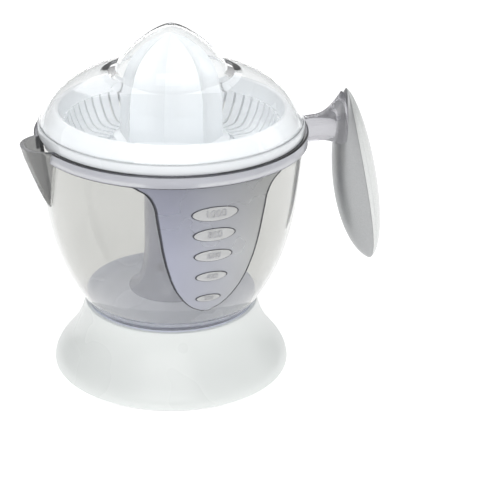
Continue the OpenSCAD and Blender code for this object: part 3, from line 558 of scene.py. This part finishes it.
def helper(name, verts, faces):
    """A solid that only takes part in a boolean."""
    mesh = bpy.data.meshes.new(name)
    mesh.from_pydata([tuple(c * MM for c in v) for v in verts], [], faces)
    merge_and_turn_out(mesh)
    solid = bpy.data.objects.new(name, mesh)
    bpy.context.scene.collection.objects.link(solid)
    return solid


def jug_tool(name, verts, faces, part):
    """A boolean's solid with the jug's finishes, all of it in one of them."""
    tool = helper(name, verts, faces)
    for finish in JUG_FINISHES:
        tool.data.materials.append(finish)
    tool.data.polygons.foreach_set("material_index", [part] * len(tool.data.polygons))
    return tool


def apply_boolean(target, tool, operation):
    """Adds or cuts away a solid, which is used up."""
    step = target.modifiers.new("shape", "BOOLEAN")
    step.operation = operation
    step.object = tool
    step.solver = "EXACT"
    result = bpy.data.meshes.new_from_object(
        target.evaluated_get(bpy.context.evaluated_depsgraph_get()))
    target.modifiers.clear()
    old = target.data
    target.data = result
    bpy.data.meshes.remove(old)
    bpy.data.objects.remove(tool)


def arm_ring(x, over, under, wide):
    """A cross-section of the arm, an oval bar that flares over and under its end."""
    ring = []
    for a in around(40):
        c, s = math.cos(a), math.sin(a)
        high = ARM_HZ + (over if s > 0 else under)
        half = (ARM_HY + wide) * (1 - 0.35 * max(0.0, s) * over / 12)
        ring.append((x, half * math.copysign(abs(c) ** 0.72, c),
                     ARM_Z + high * math.copysign(abs(s) ** 0.72, s)))
    return ring


def jug():
    """The jug's walls with the spout joined on and its channel cut."""
    verts, faces, index = jug_vessel()
    piece = finish_mesh("jug_vessel", verts, faces, "jug_body", JUG_FINISHES, index)
    low = RIM_Z - SPOUT_H + 0.5
    levels = [low + (RIM_Z - low) * i / 24 for i in range(25)]
    spout = jug_tool("spout_solid", *loft_mesh([arch(z, 0) for z in levels]), SPOUT_PART)
    apply_boolean(piece, spout, "UNION")
    cut_low = low + 5
    cut_levels = [cut_low + (RIM_Z + 2 - cut_low) * i / 24 for i in range(25)]
    bows = [[(x, y, z) for x, y, _ in arch(min(z, RIM_Z), JUG_WALL)] for z in cut_levels]
    apply_boolean(piece, jug_tool("spout_channel", *loft_mesh(bows), SPOUT_PART), "DIFFERENCE")
    # the inside keeps its shape: what the spout solid left inside the jug is cut away
    core_r, core_low, core_in = JUG_WALL + 0.02, RIM_Z - SPOUT_H - 4, 40
    core = [(JUG_R - core_r, RIM_Z + 2), (core_in, RIM_Z + 2), (core_in, core_low)]
    core += [(r - core_r, z) for r, z in curve(WALL_CURVE, 40) if z > core_low]
    inside = jug_tool("inside", *spin_mesh(core, SPIN_STEPS)[:2], CLEAR_PART)
    apply_boolean(piece, inside, "DIFFERENCE")
    # the spout's lip takes the dark edge finish: painted shade along the edge
    for face in piece.data.polygons:
        if face.center.x < -JUG_R * MM and face.center.z > (RIM_Z - 0.2) * MM:
            face.material_index = EDGE_SHADE_PART
    smooth_up_to(piece.data, 35)
    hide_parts("jug")


jug()


def jug_arm():
    """The arm that carries the grip, from the rim band to inside the grip."""
    start, end = JUG_R - 1.5, GRIP_X + 5.6
    rings = []
    for i in range(41):
        t = i / 40
        x = start + (end - start) * t
        flare = max(0.0, (t - 0.52) / 0.48) ** 2.2
        root = 1.2 * max(0.0, (0.14 - t) / 0.14) ** 2
        rings.append(arm_ring(x, 13 * flare + root, 7 * flare + root, 2.5 * flare))
    verts, faces = loft_mesh(rings)
    finish_mesh("jug_arm", verts, faces, "jug_body", [ARM_TINT])


jug_arm()


# -------------------------------------------------------------- scale panel
# half angle in degrees and share of the jug's height
PANEL_EDGE = [(0, 0.205), (5, 0.215), (8.5, 0.24), (12.3, 0.281), (16, 0.343), (18.6, 0.41), (21, 0.51),
              (22.5, 0.6), (23.6, 0.69), (24.5, 0.76), (25.3, 0.83), (27.5, 0.885), (31, 0.92),
              (36, 0.932)]
PANEL_TURN = -3.5
PANEL_T = 0.7


def panel_half(share):
    """Half angle of the panel in degrees at a share of the jug's height, smoothed."""
    total, weight = 0.0, 0.0
    for k in range(-3, 4):
        s = min(max(share + k * 0.006, PANEL_EDGE[0][1]), PANEL_EDGE[-1][1])
        for (a0, s0), (a1, s1) in zip(PANEL_EDGE, PANEL_EDGE[1:]):
            if s <= s1:
                total += a0 + (a1 - a0) * (s - s0) / (s1 - s0)
                weight += 1
                break
    return total / weight


def on_wall(angle, z, out):
    """A point on the jug wall, angle in degrees from the middle of the panel towards the handle."""
    r = wall_r(z) + out
    a = math.radians(angle + PANEL_TURN)
    return (r * math.sin(a), -r * math.cos(a), z)


def scale_panel():
    """The smoky panel, a thin skin on the wall; its edge is painted dark shade."""
    jug_h = RIM_Z - SEAT_Z
    rows, columns = 110, 48
    low, high = PANEL_EDGE[0][1] + 0.0006, PANEL_EDGE[-1][1]
    verts, faces, index = [], [], []
    profile = [(-1.0, 0.05), (-1.0, PANEL_T - 0.2)]
    profile += [(-1 + 2 * k / columns, PANEL_T) for k in range(1, columns)]
    profile += [(1.0, PANEL_T - 0.2), (1.0, 0.05)]
    profile += [(1 - 2 * k / columns, 0.05) for k in range(1, columns)]
    n = len(profile)
    for i in range(rows + 1):
        t = i / rows
        share = low + (high - low) * (t**1.6 * 0.35 + t * 0.65)
        half = max(0.6, panel_half(share))
        z = SEAT_Z + share * jug_h
        verts += [on_wall(u * half, z, out) for u, out in profile]
    for i in range(rows):
        for j in range(n):
            k = (j + 1) % n
            faces.append([i * n + j, i * n + k, (i + 1) * n + k, (i + 1) * n + j])
            # the two edge columns take the dark edge finish, painted shade
            index.append(1 if j in (0, 1, columns, columns + 1) else 0)
    faces += [list(range(n)), [rows * n + j for j in reversed(range(n))]]
    index += [1, 0]
    finish_mesh("scale_panel", verts, faces, "jug_body", [PANEL, JUG_EDGE_SHADE], index,
                sharp=40)


def panel_bead():
    """The rounded step around the panel, a thin line of painted dark shade on the wall."""
    jug_h = RIM_Z - SEAT_Z
    low, high, steps = PANEL_EDGE[0][1], PANEL_EDGE[-1][1], 90
    shares = [low + (high - low) * (i / steps) ** 1.8 for i in range(steps + 1)]
    line = [(panel_half(h), SEAT_Z + h * jug_h) for h in shares]
    line += [(line[-1][0] + 4 * k, BAND_Z - 0.25) for k in range(1, 9)]
    route = [(-a, z) for a, z in line[:0:-1]] + line
    sides, radius = 8, 0.42
    rings = []
    for i, (a, z) in enumerate(route):
        before, after = route[max(0, i - 1)], route[min(len(route) - 1, i + 1)]
        run = (Vector(on_wall(*after, 0)) - Vector(on_wall(*before, 0))).normalized()
        centre = Vector(on_wall(a, z, PANEL_T * 0.45))
        out = (Vector(on_wall(a, z, 1)) - Vector(on_wall(a, z, 0))).normalized()
        across = run.cross(out).normalized()
        rings.append([tuple(centre + (across * math.cos(q) + out * math.sin(q)) * radius)
                      for q in around(sides)])
    verts, faces = loft_mesh(rings)
    finish_mesh("panel_bead", verts, faces, "jug_body", [JUG_EDGE_SHADE], sharp=60)


scale_panel()
panel_bead()

# number, height of its mark, and the oval's width and height
SCALE = [("1000", 128.4, 28, 9), ("800", 115.3, 25.5, 8.2), ("600", 101.7, 23.3, 7.6),
         ("400", 87.4, 19.3, 6.6), ("200", 71.4, 15.4, 5.4)]


def scale_mark(text, z, width, height):
    """A clear oval lens with a rim of painted dark shade, and a generic number."""
    rim, rings, steps = 0.55, 5, 48
    verts, faces, index = [], [], []
    levels = [(1.0, PANEL_T - 0.1), (1.0, PANEL_T + 0.25), (1 - rim / height, PANEL_T + 0.45)]
    levels += [((1 - rim / height) * (1 - k / rings), PANEL_T + 0.45 + 0.35 * (1 - (1 - k / rings) ** 2))
               for k in range(1, rings)]
    for scale, out in levels:
        for a in around(steps):
            angle = math.degrees(width / 2 * scale * math.cos(a) / wall_r(z))
            verts.append(on_wall(angle, z + height / 2 * scale * math.sin(a), out))
    for i in range(len(levels) - 1):
        for j in range(steps):
            k = (j + 1) % steps
            faces.append([i * steps + j, i * steps + k, (i + 1) * steps + k, (i + 1) * steps + j])
            # the outer levels form the rim, painted dark shade
            index.append(1 if i < 2 else 0)
    last = (len(levels) - 1) * steps
    faces += [[last + j for j in range(steps)], [j for j in reversed(range(steps))]]
    index += [0, 1]
    finish_mesh("mark_" + text, verts, faces, "jug_body", [MARK_CLEAR, JUG_EDGE_SHADE], index)
    level_number(text, z, height)


def level_number(text, z, height):
    """A number laid on the wall inside its oval."""
    letters = bpy.data.curves.new("number_" + text, "FONT")
    letters.body = text
    letters.size = height * 0.72
    letters.align_x = "CENTER"
    letters.align_y = "CENTER"
    letters.extrude = 0.06
    letters.resolution_u = 3
    source = bpy.data.objects.new("number_" + text, letters)
    bpy.context.scene.collection.objects.link(source)
    bpy.context.view_layer.update()
    mesh = bpy.data.meshes.new_from_object(
        source.evaluated_get(bpy.context.evaluated_depsgraph_get()))
    bpy.data.objects.remove(source)
    for v in mesh.vertices:
        x, y, depth = v.co
        v.co = Vector(on_wall(math.degrees(x / wall_r(z)), z + y, PANEL_T + 0.9 + depth)) * MM
    mesh.materials.clear()
    mesh.materials.append(INK)
    add_piece("number_" + text, mesh, "jug_body")


for row in SCALE:
    scale_mark(*row)


# ------------------------------------------------------------------- handle
GRIP_TOP = (GRIP_X + 8.4, ARM_Z + 23)
GRIP_LOW = (GRIP_X + 29.8, ARM_Z - 95)
GRIP_IN = [GRIP_TOP, (GRIP_X - 9, ARM_Z - 24), (GRIP_X + 10, ARM_Z - 84), GRIP_LOW]
GRIP_OUT = [GRIP_TOP, (GRIP_X + 23.8, ARM_Z + 9.6), (GRIP_X + 47, ARM_Z - 84), GRIP_LOW]
SEAM_SHARE = 0.14
GROOVE_SHARE = 0.79
GROOVE_W = 0.055
GROOVE_D = 0.05


def grip_half(outside):
    """One shell of the grip: the inner grey half or the outer silver cap, split by the seam."""
    steps, columns = 64, 56
    cut = math.acos(SEAM_SHARE)
    rings = []
    for i in range(1, steps):
        t = (1 - math.cos(math.pi * i / steps)) / 2
        inner, outer = Vector(along(GRIP_IN, t)), Vector(along(GRIP_OUT, t))
        mid, half = (inner + outer) / 2, (outer - inner) / 2
        wide = GRIP_HY * math.sin(math.pi * t) ** 0.6
        if outside:
            angles = [-cut + 2 * cut * k / columns for k in range(columns + 1)]
        else:
            angles = [cut + (2 * math.pi - 2 * cut) * k / columns for k in range(columns + 1)]
        ring = []
        for a in angles:
            swell = 1.0
            if outside:
                near = 1 - abs(abs(a) - cut * GROOVE_SHARE) / (cut * GROOVE_W)
                swell = 1 - GROOVE_D * max(0.0, near)
            p = mid + half * (math.cos(a) * swell - 0.004)
            ring.append((p.x, wide * math.sin(a) * swell, p.y))
        seam_mid = mid + half * math.cos(cut)
        shift = half.normalized() * (0.0 if outside else -0.2)
        ring = [(x + shift.x, y, z + shift.y) for x, y, z in ring]
        depth = min(2.4, half.length * 0.5)
        inset = max(0.35, 1 - depth / max(half.length, wide, 0.5))
        back = []
        for x, y, z in reversed(ring):
            back.append((mid.x + (x - mid.x) * inset + (seam_mid.x - mid.x) * (1 - inset), y * inset,
                         mid.y + (z - mid.y) * inset + (seam_mid.y - mid.y) * (1 - inset)))
        rings.append(ring + back)
    return loft_mesh(rings)


def handle():
    """The grip's inner grey half and its outer silver cap."""
    verts, faces = grip_half(False)
    grip = finish_mesh("grip_shell", verts, faces, "jug_body", [GRIP_GREY], sharp=40)
    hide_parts("handle_grip")
    verts, faces = grip_half(True)
    cap = finish_mesh("grip_cap", verts, faces, "jug_body", [SILVER], sharp=40)
    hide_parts("handle_cap")


handle()


# ----------------------------------------------------------------- strainer
RING_CURVE = [(JUG_R - 3.4, COVER_Z + 0.1), (JUG_R - 5.5, COVER_Z + 0.4), (CREST_R + 2.6, CREST_Z),
              (CREST_R, CREST_Z)]
SLOT_TOP = (CREST_R - 4.2, RIM_Z + 4)
SLOT_END = HUB_OUT + 5


def bowl_line():
    """The bowl's inner line, from the upper end of the slots down and in to the hub."""
    corner = [(SLOT_TOP[0] - 0.8, RIM_Z - 1), (BOWL_R + 4.1, BOWL_Z + 2.4), (BOWL_R, BOWL_Z + 0.2)]
    return ([SLOT_TOP] + curve([corner[0], (BOWL_R + 6.4, BOWL_Z + 5), (BOWL_R + 4.5, BOWL_Z + 0.4),
                                (BOWL_R - 2, BOWL_Z + 0.1)], 10) + [(SLOT_END, BOWL_Z)])


def strainer_rim():
    """Outline of the strainer's rim, crest and skirt."""
    ring = curve(RING_CURVE, 20)
    skirt_out = JUG_R - JUG_WALL - 0.4
    top = soften([(JUG_R, RIM_Z + 0.05), (JUG_R, COVER_Z), (ring[0][0] + 0.3, COVER_Z)], {1: 0.9})
    crest = soften([ring[-1], (CREST_R - 1.8, CREST_Z - 0.8), (SLOT_TOP[0], SLOT_TOP[1])], {1: 0.8})
    under = [(SLOT_TOP[0] + 2.0, SLOT_TOP[1] - 0.4), (CREST_R - 0.2, CREST_Z - 3.2)]
    back = [(r - 1.4, z - 2.4) for r, z in ring[3:-3]][::-1]
    skirt = [(skirt_out - 2, COVER_Z - 2.4), (skirt_out - 2, RIM_Z - 6), (skirt_out, RIM_Z - 6),
             (skirt_out, RIM_Z + 0.05)]
    return top + ring[1:] + crest[1:] + under + back + skirt


def strainer_hub():
    """Outline of the hub with its collar and the cuff over the column."""
    wall = 2.0
    return soften([(SLOT_END, BOWL_Z), (HUB_OUT + 1.5, BOWL_Z), (HUB_OUT, HUB_TOP), (COLLAR_R, HUB_TOP),
                   (COLLAR_R, COLLAR_TOP), (COLLAR_IN, COLLAR_TOP), (COLLAR_IN, HUB_UNDER),
                   (CUFF_IN, HUB_UNDER), (CUFF_IN, HUB_UNDER - CUFF_H), (CUFF_OUT, HUB_UNDER - CUFF_H),
                   (CUFF_OUT, HUB_UNDER), (HUB_OUT - 2, HUB_UNDER), (HUB_OUT, BOWL_Z - wall),
                   (SLOT_END, BOWL_Z - wall)], {1: 0.8, 2: 1.2, 3: 1.0, 4: 0.5})


def slot_bar():
    """One bar between two slots: it runs from the hub out and up to the crest."""
    line = bowl_line()
    line[0] = (line[0][0] + 0.6, line[0][1] + 0.6)
    line[-1] = (line[-1][0] - 0.8, line[-1][1])
    rings = []
    for i, (r, z) in enumerate(line):
        before, after = Vector(line[max(0, i - 1)]), Vector(line[min(len(line) - 1, i + 1)])
        run = (after - before).normalized()
        out = Vector((run.y, -run.x)) * -2.0
        ring = []
        for dr, dz in ((0, 0), (-out.x, -out.y)):
            radius = r + dr
            half = math.pi / SLOT_N - math.asin(SLOT_W / 2 / radius)
            ring.append([(radius * math.cos(s * half), radius * math.sin(s * half), z + dz)
                         for s in (-1, 1)])
        rings.append([ring[0][0], ring[0][1], ring[1][1], ring[1][0]])
    return loft_mesh(rings)


def ring_array_tree():
    """Geometry nodes: copies of the incoming shape turned about the drive axis."""
    tree = bpy.data.node_groups.new("ring_array", "GeometryNodeTree")
    tree.interface.new_socket("Geometry", in_out="INPUT", socket_type="NodeSocketGeometry")
    tree.interface.new_socket("Copies", in_out="INPUT", socket_type="NodeSocketInt")
    tree.interface.new_socket("First angle", in_out="INPUT", socket_type="NodeSocketFloat")
    tree.interface.new_socket("Finish", in_out="INPUT", socket_type="NodeSocketMaterial")
    tree.interface.new_socket("Geometry", in_out="OUTPUT", socket_type="NodeSocketGeometry")
    entry, leave = tree.nodes.new("NodeGroupInput"), tree.nodes.new("NodeGroupOutput")
    points = tree.nodes.new("GeometryNodePoints")
    number = tree.nodes.new("GeometryNodeInputIndex")
    share = tree.nodes.new("ShaderNodeMath")
    share.operation = "DIVIDE"
    turn = tree.nodes.new("ShaderNodeMath")
    turn.operation = "MULTIPLY_ADD"
    turn.inputs[1].default_value = 2 * math.pi
    angle = tree.nodes.new("ShaderNodeCombineXYZ")
    place = tree.nodes.new("GeometryNodeInstanceOnPoints")
    real = tree.nodes.new("GeometryNodeRealizeInstances")
    finish = tree.nodes.new("GeometryNodeSetMaterial")
    link = tree.links.new
    link(entry.outputs["Copies"], points.inputs["Count"])
    link(number.outputs["Index"], share.inputs[0])
    link(entry.outputs["Copies"], share.inputs[1])
    link(share.outputs[0], turn.inputs[0])
    link(entry.outputs["First angle"], turn.inputs[2])
    link(turn.outputs[0], angle.inputs["Z"])
    link(points.outputs[0], place.inputs["Points"])
    link(entry.outputs["Geometry"], place.inputs["Instance"])
    link(angle.outputs["Vector"], place.inputs["Rotation"])
    link(place.outputs["Instances"], real.inputs["Geometry"])
    link(real.outputs["Geometry"], finish.inputs["Geometry"])
    link(entry.outputs["Finish"], finish.inputs["Material"])
    link(finish.outputs["Geometry"], leave.inputs["Geometry"])
    return tree


RING_ARRAY = ring_array_tree()


def ring_of(name, verts, faces, copies, first, finish, body, sharp=35):
    """A ring of equal shapes as one plain mesh."""
    seed = helper(name + "_seed", verts, faces)
    step = seed.modifiers.new("ring", "NODES")
    step.node_group = RING_ARRAY
    names = {s.name: s.identifier for s in RING_ARRAY.interface.items_tree
             if s.item_type == "SOCKET" and s.in_out == "INPUT"}
    step[names["Copies"]] = copies
    step[names["First angle"]] = first
    step[names["Finish"]] = finish
    mesh = bpy.data.meshes.new_from_object(
        seed.evaluated_get(bpy.context.evaluated_depsgraph_get()))
    bpy.data.objects.remove(seed)
    mesh.materials.clear()
    mesh.materials.append(finish)
    mesh.polygons.foreach_set("material_index", [0] * len(mesh.polygons))
    smooth_up_to(mesh, sharp)
    return add_piece(name, mesh, body)


def strainer():
    """Rim, hub and the ring of bars with the slots between them."""
    verts, faces, index = spin_mesh(strainer_rim(), SPIN_STEPS)
    rim = finish_mesh("strainer_rim", verts, faces, "strainer_body",
                      [STRAINER_WHITE], index)
    verts, faces, index = spin_mesh(strainer_hub(), 128)
    hub = finish_mesh("strainer_hub", verts, faces, "strainer_body",
                      [STRAINER_WHITE], index)
    verts, faces = slot_bar()
    bars = ring_of("strainer_bars", verts, faces, SLOT_N, 0.0, STRAINER_WHITE, "strainer_body")
    for piece in (rim, hub, bars):
        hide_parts("strainer")


strainer()


# ------------------------------------------------------------------- reamer
REAMER_CURVE = [(REAMER_R, REAMER_Z + 3), (REAMER_R - 2, REAMER_Z + 0.41 * (REAMER_TOP - REAMER_Z)),
                (REAMER_R + 3.9, REAMER_Z + 0.83 * (REAMER_TOP - REAMER_Z)), (0.0, REAMER_TOP)]
RIB_TURN = math.radians(-119.7)


def reamer():
    """The ribbed cone with its flange, hollow underneath."""
    steps, spokes = 64, 256
    rings = []

    def cusp(a, power):
        return abs(math.sin(RIB_N / 2 * (a - RIB_TURN))) ** power

    flange = [(33.0, REAMER_Z, 1.6), (34.4, REAMER_Z + 0.2, 1.6), (35.0, REAMER_Z + 0.9, 1.6),
              (34.8, REAMER_Z + 1.6, 1.6), (34.0, REAMER_Z + 2.1, 1.8), (32.6, REAMER_Z + 2.5, 2.6)]
    for r, z, deep in flange:
        rings.append([(r - deep * cusp(a, 2), z, a) for a in around(spokes)])
    for i in range(steps + 1):
        t = i / steps
        r, z = along(REAMER_CURVE, t)
        fade = min(1.0, 0.45 + t * 2.2) * min(1.0, r / (REAMER_R * 0.72)) ** 1.3
        rings.append([(max(0.01, r - FLUTE_D * fade * cusp(a, 0.85)), z, a) for a in around(spokes)])
    rings = [[(r * math.cos(a), r * math.sin(a), z) for r, z, a in ring] for ring in rings]
    inner = []
    for i in range(20):
        r, z = along(REAMER_CURVE, i / 19 * 0.86)
        r = max(4.0, r - FLUTE_D - 2.4)
        inner.append([(r * math.cos(a), r * math.sin(a), REAMER_Z if i == 0 else z - 2.2)
                      for a in around(spokes)])
    verts, faces = loft_mesh(inner[::-1] + rings)
    piece = finish_mesh("reamer_cone", verts, faces, "reamer_body", [REAMER_WHITE],
                        sharp=38)
    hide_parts("reamer")


reamer()


# --------------------------------------------------------------- dust cover
def dust_cover():
    """The clear dome with a nose over the reamer."""
    wall = 1.8
    dome_r = JUG_R - 0.6
    step_r = REAMER_R + 3
    step_z = COVER_Z + 0.508 * (COVER_TOP - COVER_Z)
    dome = curve([(dome_r, COVER_Z + 0.4), (dome_r - 1.9, COVER_Z + 3), (dome_r - 9.3, step_z - 3.6),
                  (step_r, step_z)], 48)
    nose = curve([(step_r - 0.5, step_z + 0.1), (step_r - 3, step_z + 11), (8, COVER_TOP),
                  (0, COVER_TOP)], 32)

    def offset(line, d):
        out = []
        for i, p in enumerate(line):
            a, b = Vector(line[max(0, i - 1)]), Vector(line[min(len(line) - 1, i + 1)])
            run = (b - a).normalized()
            q = Vector(p) + Vector((-run.y, run.x)) * d
            out.append((max(0.0, q.x), q.y))
        return out

    dome_in = offset(dome, wall)
    nose_in = offset(nose, wall)
    nose_in[-1] = (0.0, COVER_TOP - wall)
    valley = curve([nose[3], (step_r - 0.7, step_z + 0.6), (step_r - 0.2, step_z + 0.1), dome[-3]], 6)
    outline = ([(0.0, COVER_TOP)] + nose[4:-1][::-1] + valley + dome[:-3][::-1]
               + [(dome_r - 0.5, COVER_Z), (dome_r - wall + 0.4, COVER_Z), (dome_r - wall, COVER_Z + 0.4)]
               + dome_in[1:-4] + nose_in[4:])
    verts, faces, index = spin_mesh(outline, SPIN_STEPS)
    piece = finish_mesh("cover_shell", verts, faces, "cover", [COVER_CLEAR], index)
    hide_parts("dust_cover")


dust_cover()


# ------------------------------------------------------- floor, lights, camera
def pale_floor():
    size = 4.0
    mesh = bpy.data.meshes.new("floor")
    mesh.from_pydata([(-size, -size, 0), (size, -size, 0), (size, size, 0), (-size, size, 0)],
                     [], [(0, 1, 2, 3)])
    floor = bpy.data.objects.new("floor", mesh)
    bpy.context.scene.collection.objects.link(floor)
    mat, tree, shader, _ = new_material("pale_floor")
    broad = grain(tree, 3.0)
    tree.links.new(two_tone(tree, broad.outputs["Fac"], (0.88, 0.88, 0.88), (0.9, 0.9, 0.9)),
                   shader.inputs["Base Color"])
    shader.inputs["Roughness"].default_value = 0.8
    shader.inputs["Emission Color"].default_value = (1, 1, 1, 1)
    shader.inputs["Emission Strength"].default_value = 0.5
    mesh.materials.append(mat)


def room_light():
    """White where the camera sees the background, directly or through clear walls, and dimmer elsewhere."""
    world = bpy.data.worlds.new("studio")
    bpy.context.scene.world = world
    world.use_nodes = True
    tree = world.node_tree
    paper = tree.nodes["Background"]
    room = node(tree, "ShaderNodeBackground", Strength=1.0)
    place = node(tree, "ShaderNodeTexCoord")
    split = node(tree, "ShaderNodeSeparateXYZ")
    shade = node(tree, "ShaderNodeValToRGB")
    shade.color_ramp.elements[0].color = (0.34, 0.34, 0.345, 1)
    shade.color_ramp.elements[1].color = (0.72, 0.73, 0.73, 1)
    path = node(tree, "ShaderNodeLightPath")
    pick = node(tree, "ShaderNodeMixShader")
    tree.links.new(place.outputs["Generated"], split.inputs["Vector"])
    tree.links.new(split.outputs["Z"], shade.inputs["Fac"])
    tree.links.new(shade.outputs["Color"], room.inputs["Color"])
    paper.inputs["Color"].default_value = (1, 1, 1, 1)
    straight = node(tree, "ShaderNodeMath")
    straight.operation = "MAXIMUM"
    tree.links.new(path.outputs["Is Camera Ray"], straight.inputs[0])
    tree.links.new(path.outputs["Is Transmission Ray"], straight.inputs[1])
    tree.links.new(straight.outputs["Value"], pick.inputs[0])
    tree.links.new(room.outputs["Background"], pick.inputs[1])
    tree.links.new(paper.outputs["Background"], pick.inputs[2])
    tree.links.new(pick.outputs["Shader"], tree.nodes["World Output"].inputs["Surface"])


def lamp(name, where, target, size, power):
    """A soft rectangular lamp aimed at a point: metres and watts."""
    data = bpy.data.lights.new(name, "AREA")
    data.shape = "RECTANGLE"
    data.size, data.size_y = size
    data.energy = power
    lamp_object = bpy.data.objects.new(name, data)
    bpy.context.scene.collection.objects.link(lamp_object)
    lamp_object.location = where
    direction = Vector(target) - Vector(where)
    lamp_object.rotation_euler = direction.to_track_quat("-Z", "Y").to_euler()


def front_camera():
    """Looks down on the front from a little to the left."""
    looks_down, turned = 23.14, 22
    eye = bpy.data.cameras.new("camera")
    eye.sensor_width = 36
    eye.lens = 116.06
    eye.shift_x = 0.1574
    eye.shift_y = -0.068
    eye.clip_start = 0.05
    camera = bpy.data.objects.new("camera", eye)
    camera.location = (-0.3371, -0.8345, 0.480)
    camera.rotation_euler = (math.radians(90 - looks_down), 0, math.radians(-turned))
    bpy.context.scene.collection.objects.link(camera)
    bpy.context.scene.camera = camera


def studio():
    pale_floor()
    room_light()
    lamp("key", (-0.6, -1.2, 1.0), (0, 0, 0.08), (1.4, 1.4), 9)
    lamp("fill", (1.3, -0.3, 0.7), (0, 0, 0.1), (0.5, 1.2), 1.2)
    lamp("back", (0.3, 1.2, 0.9), (0, 0, 0.12), (1.0, 0.6), 2)
    front_camera()
    bpy.context.scene.view_settings.view_transform = "Standard"


studio()
